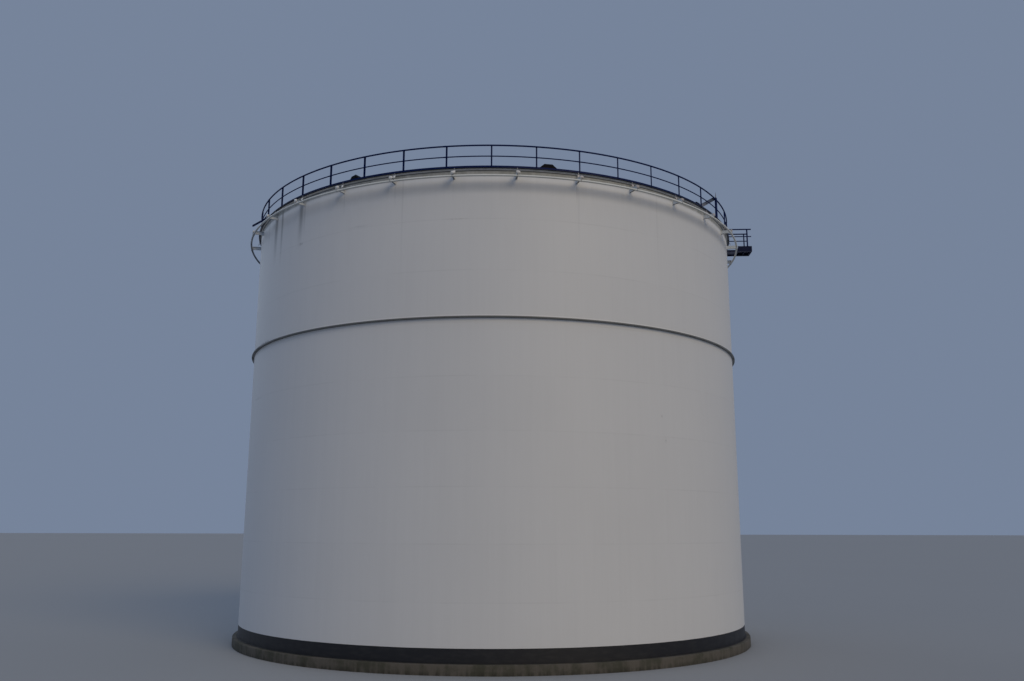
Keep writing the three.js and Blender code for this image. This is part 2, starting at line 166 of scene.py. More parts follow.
def maths(tree, operation, a, b=None, c=None):
    """The result of a maths node."""
    given = {i: v for i, v in enumerate((a, b, c)) if v is not None}
    return node(tree, "ShaderNodeMath", given, operation=operation).outputs[0]


class Paint:
    """A material's tree, with short calls for the sums and patterns that the finishes share."""

    def __init__(self, name):
        self.material = bpy.data.materials.new(name)
        self.material.use_nodes = True
        self.tree = self.material.node_tree
        self.shader = self.tree.nodes["Principled BSDF"]
        self.place = node(self.tree, "ShaderNodeTexCoord").outputs["Object"]
        parts = node(self.tree, "ShaderNodeSeparateXYZ", {0: self.place}).outputs
        self.x, self.y, self.z = parts[0], parts[1], parts[2]

    def math(self, operation, a, b=None, c=None):
        return maths(self.tree, operation, a, b, c)

    def product(self, *values):
        result = values[0]
        for value in values[1:]:
            result = self.math("MULTIPLY", result, value)
        return result

    def plus(self, base, *terms):
        """The base with a share of each value added. A term is a value and its share."""
        for value, share in terms:
            base = self.math("MULTIPLY_ADD", value, share, base)
        return base

    def ramp(self, value, low, high, to_low=0.0, to_high=1.0):
        """A soft step from to_low, at low and under it, up or down to to_high, at high and over it."""
        given = {"Value": value, "From Min": low, "From Max": high, "To Min": to_low, "To Max": to_high}
        return node(self.tree, "ShaderNodeMapRange", given, interpolation_type="SMOOTHSTEP").outputs[0]

    def bell(self, value, centre, width):
        """1 at the centre, falling to 0 at width on either side."""
        off = self.math("ABSOLUTE", self.math("SUBTRACT", value, centre))
        return self.ramp(off, 0.0, width, 1.0, 0.0)

    def noise(self, scale, stretch=None, detail=3.0, rough=0.55):
        """Cloudy noise. Stretch scales the place along x, y and z first."""
        place = self.place
        if stretch:
            place = node(self.tree, "ShaderNodeMapping", {"Vector": place, "Scale": stretch}).outputs[0]
        given = {"Vector": place, "Scale": scale, "Detail": detail, "Roughness": rough}
        return node(self.tree, "ShaderNodeTexNoise", given).outputs["Fac"]

    def cells(self, scale, output):
        given = {"Vector": self.place, "Scale": scale}
        return node(self.tree, "ShaderNodeTexVoronoi", given).outputs[output]

    def azimuth(self):
        turn = self.math("ARCTAN2", self.x, self.math("MULTIPLY", self.y, -1.0))
        return self.math("DEGREES", turn)

    def beyond(self, radius):
        """1 further than this from the tank's axis, 0 nearer."""
        square = self.math("ADD", self.product(self.x, self.x), self.product(self.y, self.y))
        return self.math("GREATER_THAN", self.math("SQRT", square), radius)

    def upward(self):
        """The height of the surface's normal: 1 on a top, 0 on a wall, -1 on an underside."""
        normal = node(self.tree, "ShaderNodeNewGeometry").outputs["Normal"]
        return node(self.tree, "ShaderNodeSeparateXYZ", {0: normal}).outputs[2]

    def facing_down(self):
        return self.ramp(self.upward(), -0.75, -0.25, 1.0, 0.0)

    def blend(self, share, a, b):
        given = {"Factor": share, 6: a, 7: b}
        return node(self.tree, "ShaderNodeMix", given, data_type="RGBA").outputs[2]

    def shade(self, colour, factor):
        """The colour made lighter or darker by a factor."""
        both = {0: colour[:3] if isinstance(colour, tuple) else colour, 1: factor}
        return node(self.tree, "ShaderNodeVectorMath", both, operation="MULTIPLY").outputs[0]

    def bump(self, height, strength, distance):
        given = {"Height": height, "Strength": strength, "Distance": distance}
        self.tree.links.new(node(self.tree, "ShaderNodeBump", given).outputs[0], self.shader.inputs["Normal"])

    def finish(self, colour, roughness, metallic=0.0, specular=0.5):
        """The material. Constants go on the shader's own sockets."""
        self.shader.inputs["Specular IOR Level"].default_value = specular
        for name, value in (("Base Color", colour), ("Roughness", roughness), ("Metallic", metallic)):
            socket = self.shader.inputs[name]
            if isinstance(value, bpy.types.NodeSocket):
                self.tree.links.new(value, socket)
            else:
                socket.default_value = value
        return self.material


def rgb(r, g, b):
    return (r, g, b, 1.0)


# Runs of dirt down the shell: azimuth, half width in degrees, length below the rim, strength
RUNS = (
    (-56.6, 1.30, 2.9, 0.85),
    (-53.3, 0.75, 3.1, 0.60),
    (-45.3, 1.30, 2.6, 0.70),
    (-43.9, 0.60, 2.2, 0.35),
    (-61.5, 0.60, 2.0, 0.25),
    (-18.3, 0.30, 5.5, 0.10),
    (16.4, 0.35, 4.5, 0.10),
    (34.9, 0.30, 5.0, 0.10),
    (63.0, 0.60, 2.4, 0.22),
    (118.0, 0.50, 3.0, 0.45),
    (152.0, 0.45, 2.4, 0.35),
    (-128.0, 0.55, 3.2, 0.50),
    (-96.0, 0.40, 2.0, 0.30),
)
# Short marks: azimuth, half width in degrees, depth below the rim, half height, strength
MARKS = (
    (-44.7, 1.6, 2.23, 0.09, 0.60),
    (-53.3, 0.3, 2.20, 0.12, 0.45),
    (-7.4, 3.2, 2.20, 0.05, 0.20),
    (-28.0, 3.5, 2.12, 0.08, 0.12),
    (-60.5, 8.0, 6.27, 0.10, 0.50),
    (-63.0, 4.0, 8.85, 0.07, 0.22),
    (34.6, 0.22, 10.15, 0.10, 0.30),
    (35.5, 0.28, 11.15, 0.16, 0.40),
    (133.0, 6.0, 6.27, 0.09, 0.35),
    (-150.0, 2.5, 2.22, 0.07, 0.35),
)

# Bands on the shell as depths below the rim: the middle and half the height
# a band of painted light on the shell by the pipe
PIPE_LIGHT_BAND = (0.42, 0.22)
# a band of painted shadow below each bracket
BRACKET_SHADOW_BAND = (0.66, 0.26)
PIPE_SHADE = (0.80, 0.38)
# a line of painted shade and dirt in the crease under the curb's leg
CRACK_BAND = (CURB_LEG + 0.004, 0.020)

# Colours of the dirt, some of them also used for painted shade and shadow
SOOT_AND_SHADOW = rgb(0.085, 0.095, 0.105)
ALGAE = rgb(0.30, 0.32, 0.25)
DAMP_DUST = rgb(0.235, 0.24, 0.205)
CREASE_DIRT_AND_SHADE = rgb(0.02, 0.02, 0.02)
UNDERSIDE_DIRT_AND_SHADE = rgb(0.030, 0.032, 0.030)


def plates_and_seams(p, azimuth, depth):
    """A tone for each plate of each course, and faint lines of weld where plates meet."""
    course = p.math("FLOOR", p.math("DIVIDE", p.math("SUBTRACT", p.z, SHELL_FOOT), COURSE_HEIGHT))
    turned = p.plus(azimuth, (course, SEAM_SHIFT))
    first = SEAM_AZIMUTH + SEAM_COURSE * SEAM_SHIFT
    plates = p.math("DIVIDE", p.math("SUBTRACT", turned, first), PLATE_STEP)
    number = p.math("FLOORED_MODULO", p.math("FLOOR", plates), PLATES_ROUND)
    key = node(p.tree, "ShaderNodeCombineXYZ", {0: number, 1: course}).outputs[0]
    tone = node(p.tree, "ShaderNodeTexWhiteNoise", {"Vector": key}).outputs["Value"]

    upright = p.ramp(p.math("PINGPONG", plates, 0.5), 0.0, 0.0045, 1.0, 0.0)
    courses = p.math("DIVIDE", depth, COURSE_HEIGHT)
    across = p.ramp(p.math("PINGPONG", courses, 0.5), 0.0, 0.022, 1.0, 0.0)
    patchy = p.ramp(p.noise(1.0, (0.35, 0.35, 0.1)), 0.35, 0.62)
    return tone, p.product(p.math("MAXIMUM", across, p.product(upright, 0.25)), patchy)


def soot_and_shadow_on_shell(p, azimuth, depth, broad, streaky, fine):
    """Soot in long runs, short marks and a drip at each bracket, and each bracket's painted shadow."""
    wobble = p.math("SUBTRACT", broad, 0.5)
    soot_and_shadow = 0.0
    for at, half, length, strength in RUNS:
        side = p.bell(p.plus(azimuth, (wobble, half)), at, half)
        run = p.product(side, p.ramp(depth, 0.3, length, 1.0, 0.0), strength)
        soot_and_shadow = p.math("MAXIMUM", soot_and_shadow, run)
    soot_and_shadow = p.product(soot_and_shadow, p.ramp(streaky, 0.2, 0.65, 0.35, 1.0))

    ragged = p.ramp(p.noise(5.0, detail=4.0, rough=0.7), 0.36, 0.6)
    for at, half, low, half_height, strength in MARKS:
        mark = p.product(p.bell(azimuth, at, half), p.bell(depth, low, half_height), strength, ragged)
        soot_and_shadow = p.math("MAXIMUM", soot_and_shadow, mark)

    def at_brackets(aside, half):
        """1 at so many degrees aside of every bracket, falling to 0 over this share of the step."""
        steps = p.math("DIVIDE", p.math("SUBTRACT", azimuth, BRACKET_AZIMUTH + aside), BRACKET_STEP)
        return p.bell(p.math("PINGPONG", steps, 0.5), 0.0, half)

    # the painted shadow below each bracket, a little to its left, stronger on the tank's left
    shadow_by_side = p.ramp(azimuth, -50.0, 10.0, 0.24, 0.06)
    bracket_shadow = p.product(at_brackets(-1.3, 0.14), p.bell(depth, *BRACKET_SHADOW_BAND), shadow_by_side)
    drip = p.product(at_brackets(0.0, 0.03), p.ramp(depth, 0.6, 1.7, 0.20, 0.0), p.ramp(fine, 0.4, 0.65))
    return p.math("MAXIMUM", p.math("MAXIMUM", soot_and_shadow, bracket_shadow), drip)


def shell_paint():
    """White paint in plates of slightly different tone, dirty under the rim, with a tarred foot."""
    p = Paint("shell_paint")
    azimuth = p.azimuth()
    depth = p.math("SUBTRACT", RIM, p.z)
    streaky = p.noise(1.0, (2.6, 2.6, 0.10), 4.0, 0.6)
    fine = p.noise(1.0, (9.0, 9.0, 0.25), 3.0, 0.6)
    broad = p.noise(0.22, rough=0.5)
    tone, seams = plates_and_seams(p, azimuth, depth)
    light = p.plus(0.93, (broad, 0.06), (streaky, 0.05), (fine, 0.035), (tone, 0.014), (seams, -0.045))

    # painted shade under the pipe, dull near the rim, painted light by the pipe and just above the stiffener
    pipe_shade = p.product(p.bell(depth, *PIPE_SHADE), p.ramp(azimuth, -42.0, -8.0, 0.09, 0.20))
    upper = p.product(p.ramp(depth, 0.2, 2.2, 0.055, 0.0), p.ramp(streaky, 0.3, 0.7))
    painted_light_by_pipe = p.bell(depth, *PIPE_LIGHT_BAND)
    # painted bounce light off the stiffener's top, as a line on the shell
    painted_light_above_ring = p.bell(p.z, RING_HEIGHT + RING_LIP + 0.06, 0.05)
    light = p.plus(light, (pipe_shade, -1.0), (painted_light_by_pipe, 0.13), (painted_light_above_ring, 0.14), (upper, -1.0))
    colour = p.shade(rgb(0.80, 0.80, 0.80), light)

    # soot, and the painted shadows of the brackets
    soot_and_shadow = soot_and_shadow_on_shell(p, azimuth, depth, broad, streaky, fine)
    colour = p.blend(soot_and_shadow, colour, SOOT_AND_SHADOW)
    damp_strip = p.product(p.ramp(depth, 0.24, 0.37, 1.0, 0.0), p.ramp(streaky, 0.2, 0.7, 0.45, 0.8))
    colour = p.blend(damp_strip, colour, DAMP_DUST)
    # painted shade and dirt in the crease under the curb's leg
    colour = p.blend(p.product(p.bell(depth, *CRACK_BAND), 0.7), colour, CREASE_DIRT_AND_SHADE)

    # the tar's upper edge is brushed by hand
    brushed = p.plus(p.z, (p.math("SUBTRACT", p.noise(1.2), 0.5), 0.012))
    tarred = p.math("LESS_THAN", brushed, SHELL_FOOT + TAR_HEIGHT)
    dust = p.ramp(p.noise(2.5, (1, 1, 3)), 0.4, 0.75, 0.0, 0.12)
    tar = p.blend(dust, rgb(0.012, 0.012, 0.015), rgb(0.10, 0.095, 0.085))
    colour = p.blend(tarred, colour, tar)

    p.bump(p.plus(p.noise(0.55, detail=2.0), (fine, 0.03)), 0.25, 0.02)
    return p.finish(colour, p.plus(0.46, (streaky, 0.14), (soot_and_shadow, 0.3)))


def damp_paint(name, clean, green):
    """Paint gone green where it stays wet, by the share given, with its colour and roughness."""
    p = Paint(name)
    damp = p.ramp(p.noise(1.4, detail=5.0, rough=0.65), 0.42, 0.68)
    fine = p.noise(14.0)
    colour = p.blend(p.product(damp, green), clean, ALGAE)
    colour = p.shade(colour, p.plus(0.92, (fine, 0.14)))
    p.bump(fine, 0.12, 0.004)
    return p, colour, p.plus(0.38, (damp, 0.25))


def curb_paint():
    """Grey on the leg, with a line of painted shade and dirt along its lower edge, and navy on the flange."""
    p, colour, rough = damp_paint("curb_paint", rgb(0.72, 0.69, 0.64), 0.3)
    low = RIM - CURB_LEG
    # painted shade and dirt along the leg's lower edge
    colour = p.blend(p.ramp(p.z, low + 0.018, low + 0.040, 0.85, 0.0), colour, rgb(0.03, 0.03, 0.03))
    colour = p.blend(p.beyond(SHELL_RADIUS + 0.045), colour, rgb(0.003, 0.010, 0.035))
    return p.finish(colour, rough)


def girder_paint():
    """Grey with painted shade and dirt on its underside, and darker on the outer face."""
    p, colour, rough = damp_paint("girder_paint", rgb(0.62, 0.63, 0.61), 0.5)
    colour = p.blend(p.beyond(SHELL_RADIUS + 0.128), colour, rgb(0.17, 0.175, 0.17))
    # painted shade and dirt on the undersides
    colour = p.blend(p.product(p.facing_down(), 0.85), colour, UNDERSIDE_DIRT_AND_SHADE)
    return p.finish(colour, rough)


def pipe_paint():
    """White with painted shade on its underside, and darker slate blue towards the tank's far left."""
    p, colour, rough = damp_paint("pipe_paint", rgb(0.92, 0.93, 0.89), 0.12)
    colour = p.blend(p.ramp(p.x, -12.9, -11.2, 0.9, 0.0), colour, rgb(0.035, 0.060, 0.110))
    # painted shade on the undersides
    colour = p.blend(p.product(p.facing_down(), 0.40), colour, UNDERSIDE_DIRT_AND_SHADE)
    return p.finish(colour, rough)


def bracket_paint():
    """Grey with painted shade on its underside, darker in front than at the tank's left."""
    p, colour, rough = damp_paint("bracket_paint", rgb(0.66, 0.71, 0.76), 0.15)
    # painted shade on the undersides, stronger in front
    under = p.ramp(p.x, -9.0, -4.0, 0.30, 0.85)
    colour = p.blend(p.product(p.facing_down(), under), colour, rgb(0.026, 0.030, 0.036))
    return p.finish(colour, rough)


def pad_paint():
    p, colour, rough = damp_paint("pad_paint", rgb(0.76, 0.76, 0.76), 0.1)
    # painted shade and dirt on the pad's underside
    colour = p.blend(p.product(p.facing_down(), 0.5), colour, UNDERSIDE_DIRT_AND_SHADE)
    return p.finish(colour, rough)


def nozzle_paint():
    """Pale paint, with painted light on the tank's left and painted shade on its right."""
    p = Paint("nozzle_paint")
    fine = p.noise(22.0)
    # painted light on the heads at the tank's left, painted shade at its right
    colour = p.blend(p.ramp(p.x, -3.0, 7.0), rgb(0.96, 0.95, 0.92), rgb(0.62, 0.55, 0.52))
    colour = p.shade(colour, p.plus(0.94, (fine, 0.12)))
    p.bump(fine, 0.1, 0.003)
    return p.finish(colour, 0.42)


def navy_paint(name, clean, faded, dust_and_fill_light):
    """Dark blue gloss, faded on its tops, with a share of dust and painted fill light on its undersides."""
    p = Paint(name)
    cloud = p.noise(3.0, detail=4.0, rough=0.6)
    specks = p.ramp(p.noise(38.0, detail=2.0), 0.66, 0.76)
    tops = p.product(p.ramp(p.upward(), 0.3, 1.0), p.ramp(cloud, 0.35, 0.65), 0.2)
    colour = p.blend(tops, clean, faded)
    colour = p.blend(p.product(specks, 0.25), colour, rgb(0.10, 0.055, 0.035))
    # dust and painted fill light on the undersides
    colour = p.blend(p.product(p.facing_down(), dust_and_fill_light), colour, rgb(0.17, 0.18, 0.25))
    p.bump(cloud, 0.08, 0.004)
    return p.finish(colour, p.plus(0.42, (cloud, 0.25)), specular=0.12)


def vent_paint():
    """Near black, with a little rust."""
    p = Paint("vent_paint")
    cloud = p.noise(4.0, detail=4.0, rough=0.6)
    rust = p.ramp(p.noise(9.0, detail=5.0, rough=0.7), 0.58, 0.75, 0.0, 0.4)
    colour = p.blend(cloud, rgb(0.003, 0.004, 0.009), rgb(0.010, 0.009, 0.012))
    colour = p.blend(rust, colour, rgb(0.030, 0.014, 0.009))
    p.bump(cloud, 0.15, 0.006)
    return p.finish(colour, 0.62, specular=0.2)


def grey_steel():
    """Dull grey paint over galvanised sheet."""
    p = Paint("grey_steel")
    cloud = p.noise(5.0, detail=5.0, rough=0.65)
    spangle = node(p.tree, "ShaderNodeSeparateColor", {0: p.cells(26.0, "Color")}).outputs[0]
    colour = p.blend(p.ramp(cloud, 0.35, 0.7), rgb(0.36, 0.37, 0.40), rgb(0.22, 0.225, 0.24))
    colour = p.shade(colour, p.plus(0.92, (spangle, 0.14)))
    p.bump(cloud, 0.1, 0.004)
    return p.finish(colour, p.plus(0.40, (cloud, 0.2)), metallic=0.25)


def arm_paint():
    """The grey of the hoist arm, which turns navy towards its upper end."""
    p = Paint("arm_paint")
    cloud = p.noise(5.0, detail=5.0, rough=0.65)
    ragged_z = p.plus(p.z, (p.math("SUBTRACT", cloud, 0.5), 0.5))
    upper = p.ramp(ragged_z, RIM + 0.35, RIM + 0.75, 0.0, 0.75)
    colour = p.blend(p.ramp(cloud, 0.35, 0.7), rgb(0.24, 0.25, 0.29), rgb(0.13, 0.14, 0.17))
    colour = p.blend(upper, colour, rgb(0.015, 0.025, 0.060))
    p.bump(cloud, 0.1, 0.004)
    return p.finish(colour, 0.5)


def roof_paint():
    """White gone grey in clouds."""
    p = Paint("roof_paint")
    cloud = p.noise(0.45, detail=5.0, rough=0.6)
    fine = p.noise(6.0, detail=4.0, rough=0.65)
    dirt = p.ramp(p.plus(cloud, (fine, 0.25)), 0.52, 0.82, 0.0, 0.6)
    colour = p.blend(dirt, rgb(0.66, 0.665, 0.66), rgb(0.36, 0.365, 0.34))
    p.bump(fine, 0.15, 0.006)
    return p.finish(colour, p.plus(0.42, (dirt, 0.3)))


def tarred_steel():
    """Black coating with rust coming through."""
    p = Paint("tarred_steel")
    cloud = p.noise(3.0, detail=4.0, rough=0.6)
    rust = p.ramp(p.noise(6.0, detail=5.0, rough=0.7), 0.5, 0.75, 0.0, 0.6)
    colour = p.blend(rust, rgb(0.020, 0.019, 0.019), rgb(0.085, 0.050, 0.032))
    p.bump(cloud, 0.3, 0.004)
    return p.finish(colour, 0.7)


def mossy_concrete():
    """Brown, pitted concrete with moss in streaks and a wet foot."""
    p = Paint("mossy_concrete")
    cloud = p.noise(0.9, detail=5.0, rough=0.62)
    fine = p.noise(11.0, detail=6.0, rough=0.7)
    streaks = p.noise(1.0, (5.0, 5.0, 0.5), 4.0, 0.6)
    moss = p.ramp(p.plus(cloud, (streaks, 0.35)), 0.55, 0.80, 0.0, 0.7)
    wet = p.product(p.ramp(p.z, 0.02, 0.22, 0.75, 0.0), p.ramp(streaks, 0.3, 0.7))
    colour = p.blend(cloud, rgb(0.105, 0.092, 0.074), rgb(0.165, 0.148, 0.125))
    colour = p.blend(moss, colour, rgb(0.040, 0.043, 0.024))
    colour = p.blend(wet, colour, rgb(0.035, 0.031, 0.024))
    colour = p.shade(colour, p.plus(0.82, (fine, 0.36)))
    pits = p.ramp(p.cells(16.0, "Distance"), 0.0, 0.22, 0.5, 0.0)
    p.bump(p.math("SUBTRACT", fine, pits), 0.5, 0.012)
    return p.finish(colour, 0.88)


SHELL_PAINT = shell_paint()
CURB_PAINT = curb_paint()
GIRDER_PAINT = girder_paint()
PIPE_PAINT = pipe_paint()
BRACKET_PAINT = bracket_paint()
PAD_PAINT = pad_paint()
NOZZLE_PAINT = nozzle_paint()
NAVY_PAINT = navy_paint("navy_paint", rgb(0.001, 0.012, 0.090), rgb(0.010, 0.038, 0.140), 0.0)
# the landing's undersides get dust and painted fill light
LANDING_PAINT = navy_paint("landing_paint", rgb(0.008, 0.013, 0.045), rgb(0.015, 0.030, 0.080), 0.9)
VENT_PAINT = vent_paint()
GREY_STEEL = grey_steel()
ARM_PAINT = arm_paint()
ROOF_PAINT = roof_paint()
TARRED_STEEL = tarred_steel()
MOSSY_CONCRETE = mossy_concrete()


def turn_matrix(azimuth):
    """Takes a local shape, X outward, to its azimuth."""
    return Matrix.Rotation(math.radians(azimuth - 90), 4, "Z")


def degrees_along(length, radius):
    """The azimuth that a length takes up along a circle."""
    return math.degrees(length / radius)


def sweep_of(start, end):
    """Azimuths from start to end, about a degree apart."""
    return list(np.linspace(start, end, max(2, round(abs(end - start)) + 1)))


ALL_ROUND = list(np.arange(0, 360, 1.0))


def signed_volume(points, faces):
    """Six times the volume inside the faces, under 0 where they face inwards."""
    total = 0.0
    for face in faces:
        a = points[face[0]]
        for i in range(1, len(face) - 1):
            total += float(np.dot(a, np.cross(points[face[i]], points[face[i + 1]])))
    return total


def tube_faces(rings, sides, closed=False):
    """Faces from each ring of points to the next. Both ends are capped, unless it closes on itself."""
    faces = []
    for i in range(rings if closed else rings - 1):
        low, high = i * sides, (i + 1) % rings * sides
        for j in range(sides):
            k = (j + 1) % sides
            faces.append((low + j, low + k, high + k, high + j))
    if not closed:
        last = (rings - 1) * sides
        faces += [tuple(reversed(range(sides))), tuple(range(last, last + sides))]
    return faces


def new_mesh(name, points, faces, paints, materials):
    """A mesh whose paints give each face's place in the list of materials."""
    made = bpy.data.meshes.new(name)
    made.from_pydata(points, [], faces)
    for material in materials:
        made.materials.append(material)
    made.polygons.foreach_set("material_index", paints)
    made.update()
    return made


class Shape:
    """Closed solids that are gathered into one mesh, each with a material."""

    def __init__(self):
        self.points, self.faces, self.paints, self.materials = [], [], [], []

    def add(self, points, faces, material):
        points = np.asarray(points, float)
        if signed_volume(points - points.mean(0), faces) < 0:
            faces = [tuple(reversed(face)) for face in faces]
        if material not in self.materials:
            self.materials.append(material)
        base, paint = len(self.points), self.materials.index(material)
        self.points.extend(map(tuple, points))
        self.faces.extend(tuple(base + i for i in face) for face in faces)
        self.paints.extend([paint] * len(faces))
        return self

    def prism(self, outline, low, high, material, axis="y"):
        """An outline in (x, z) drawn along y, or in (x, y) along z, or in (y, z) along x."""
        place = {
            "y": lambda a, b, t: (a, t, b),
            "z": lambda a, b, t: (a, b, t),
            "x": lambda a, b, t: (t, a, b),
        }[axis]
        points = [place(a, b, end) for end in (low, high) for a, b in outline]
        return self.add(points, tube_faces(2, len(outline)), material)

    def block(self, x, y, z, material, bevel=0.0):
        """A box between pairs of x, y and z. A bevel cuts its four long corners along the longest side."""
        spans = {"x": x, "y": y, "z": z}
        axis = max(spans, key=lambda k: spans[k][1] - spans[k][0])
        first, second = {"x": ("y", "z"), "y": ("x", "z"), "z": ("x", "y")}[axis]
        (a, b), (c, d) = spans[first], spans[second]
        e = min(bevel, 0.45 * min(b - a, d - c))
        outline = [(a, c), (b, c), (b, d), (a, d)]
        if e:
            outline = [(a + e, c), (b - e, c), (b, c + e), (b, d - e)]
            outline += [(b - e, d), (a + e, d), (a, d - e), (a, c + e)]
        return self.prism(outline, *spans[axis], material, axis)

    def rod(self, start, end, radius, material, sides=12):
        start, end = Vector(start), Vector(end)
        along = (end - start).normalized()
        side = along.orthogonal().normalized()
        other = along.cross(side)
        points = []
        for centre in (start, end):
            for i in range(sides):
                a = 2 * math.pi * i / sides
                points.append(centre + side * (radius * math.cos(a)) + other * (radius * math.sin(a)))
        return self.add(points, tube_faces(2, sides), material)

    def bent_rod(self, path, radius, material, sides=8):
        """A round bar along a bent path in one plane."""
        path = [Vector(p) for p in path]
        plane = (path[1] - path[0]).cross(path[-1] - path[0]).normalized()
        points, count = [], len(path)
        for i, centre in enumerate(path):
            along = (path[min(i + 1, count - 1)] - path[max(i - 1, 0)]).normalized()
            side = along.cross(plane)
            for j in range(sides):
                a = 2 * math.pi * j / sides
                points.append(centre + side * (radius * math.cos(a)) + plane * (radius * math.sin(a)))
        return self.add(points, tube_faces(count, sides), material)

    def lathe(self, profile, material, steps=48):
        """A solid of revolution about the upright axis. The profile of (radius, z) starts and ends on it."""
        points = [(0, 0, profile[0][1]), (0, 0, profile[-1][1])]
        for r, z in profile[1:-1]:
            for i in range(steps):
                a = 2 * math.pi * i / steps
                points.append((r * math.cos(a), r * math.sin(a), z))
        rings, faces = len(profile) - 2, []
        for i in range(steps):
            k = (i + 1) % steps
            faces.append((0, 2 + k, 2 + i))
            faces.append((1, 2 + (rings - 1) * steps + i, 2 + (rings - 1) * steps + k))
            for j in range(rings - 1):
                low, high = 2 + j * steps, 2 + (j + 1) * steps
                faces.append((low + i, low + k, high + k, high + i))
        return self.add(points, faces, material)

    def rim_bar(self, profile, azimuths, material, whole=False, swell=None):
        """A closed profile of (radius, z) swept round the tank's axis through the azimuths given."""
        points = []
        for azimuth in azimuths:
            a = math.radians(azimuth)
            for r, z in profile:
                r += swell(azimuth, r, z) if swell else 0.0
                points.append((r * math.sin(a), -r * math.cos(a), z))
        return self.add(points, tube_faces(len(azimuths), len(profile), whole), material)

    def placed(self, matrix):
        self.points = [tuple(matrix @ Vector(p)) for p in self.points]
        return self

    def turned(self, azimuth, shift=(0, 0, 0)):
        return self.placed(turn_matrix(azimuth) @ Matrix.Translation(shift))

    def mesh(self, name):
        return new_mesh(name, self.points, self.faces, self.paints, self.materials)


def gathered(name, meshes):
    """Several meshes as one, each keeping its materials."""
    points, faces, paints, materials = [], [], [], []
    for mesh in meshes:
        slots = []
        for material in mesh.materials:
            if material not in materials:
                materials.append(material)
            slots.append(materials.index(material))
        base = len(points)
        points.extend(tuple(v.co) for v in mesh.vertices)
        for polygon in mesh.polygons:
            faces.append(tuple(base + i for i in polygon.vertices))
            paints.append(slots[polygon.material_index])
    return new_mesh(name, points, faces, paints, materials)


def piece(name, mesh, replaces=(), smooth=35):
    """A finished object that rides on the tank. Edges sharper than the angle stay sharp."""
    made = bpy.data.objects.new(name, mesh)
    scene.collection.objects.link(made)
    mesh.shade_smooth()
    mesh.set_sharp_from_angle(angle=math.radians(smooth))
    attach(made, "root")
    if replaces:
        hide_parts(*replaces)


def geometry_tree(name, inputs):
    """A geometry tree with its named inputs, and the sockets that give them."""
    tree = bpy.data.node_groups.new(name, "GeometryNodeTree")
    for label, kind, value in inputs:
        socket = tree.interface.new_socket(label, in_out="INPUT", socket_type="NodeSocket" + kind)
        if value is not None:
            socket.default_value = value
    tree.interface.new_socket("Geometry", in_out="OUTPUT", socket_type="NodeSocketGeometry")
    return tree, node(tree, "NodeGroupInput").outputs


def close_tree(tree, geometry, material):
    real = node(tree, "GeometryNodeRealizeInstances", {"Geometry": geometry}).outputs[0]
    painted = node(tree, "GeometryNodeSetMaterial", {"Geometry": real, "Material": material})
    node(tree, "NodeGroupOutput", {"Geometry": painted.outputs[0]})


def angle_from_x(tree, azimuth):
    """An azimuth in degrees as the angle from +X in radians."""
    return maths(tree, "RADIANS", maths(tree, "SUBTRACT", azimuth, 90.0))


def round_rim_tree():
    """Copies of an item round the tank's axis, each with its X outward."""
    tree, given = geometry_tree("round_the_rim", (
        ("Item", "Object", None),
        ("Count", "Int", 8),
        ("First azimuth", "Float", 0.0),
        ("Azimuth step", "Float", 45.0),
        ("Radius", "Float", 12.0),
        ("Height", "Float", 0.0),
        ("Material", "Material", None),
    ))
    index = node(tree, "GeometryNodeInputIndex").outputs[0]
    azimuth = maths(tree, "MULTIPLY_ADD", index, given["Azimuth step"], given["First azimuth"])
    angle = angle_from_x(tree, azimuth)
    x = maths(tree, "MULTIPLY", maths(tree, "COSINE", angle), given["Radius"])
    y = maths(tree, "MULTIPLY", maths(tree, "SINE", angle), given["Radius"])
    spot = node(tree, "ShaderNodeCombineXYZ", {0: x, 1: y, 2: given["Height"]}).outputs[0]
    points = node(tree, "GeometryNodePoints", {"Count": given["Count"], "Position": spot}).outputs[0]
    item = node(tree, "GeometryNodeObjectInfo", {"Object": given["Item"], "As Instance": True})
    euler = node(tree, "ShaderNodeCombineXYZ", {2: angle}).outputs[0]
    turn = node(tree, "FunctionNodeEulerToRotation", {0: euler}).outputs[0]
    copies = {"Points": points, "Instance": item.outputs["Geometry"], "Rotation": turn}
    close_tree(tree, node(tree, "GeometryNodeInstanceOnPoints", copies).outputs[0], given["Material"])
    return tree


def rim_tube_tree():
    """A round tube that follows the rim."""
    tree, given = geometry_tree("rim_tube", (
        ("Radius", "Float", 12.0),
        ("Height", "Float", 0.0),
        ("First azimuth", "Float", 0.0),
        ("Swept angle", "Float", 30.0),
        ("Tube radius", "Float", 0.03),
        ("Steps", "Int", 24),
        ("Sides", "Int", 12),
        ("Material", "Material", None),
    ))
    sizes = {
        "Resolution": given["Steps"],
        "Radius": given["Radius"],
        "Start Angle": angle_from_x(tree, given["First azimuth"]),
        "Sweep Angle": maths(tree, "RADIANS", given["Swept angle"]),
    }
    arc = node(tree, "GeometryNodeCurveArc", sizes, mode="RADIUS").outputs[0]
    lift = node(tree, "ShaderNodeCombineXYZ", {2: given["Height"]}).outputs[0]
    raised = node(tree, "GeometryNodeTransform", {"Geometry": arc, "Translation": lift}).outputs[0]
    level = node(tree, "GeometryNodeSetCurveNormal", {"Curve": raised}, mode="Z_UP").outputs[0]
    sizes = {"Resolution": given["Sides"], "Radius": given["Tube radius"]}
    outline = node(tree, "GeometryNodeCurvePrimitiveCircle", sizes, mode="RADIUS").outputs[0]
    tube = {"Curve": level, "Profile Curve": outline, "Fill Caps": True}
    close_tree(tree, node(tree, "GeometryNodeCurveToMesh", tube).outputs[0], given["Material"])
    return tree


ROUND_RIM = round_rim_tree()
RIM_TUBE = rim_tube_tree()


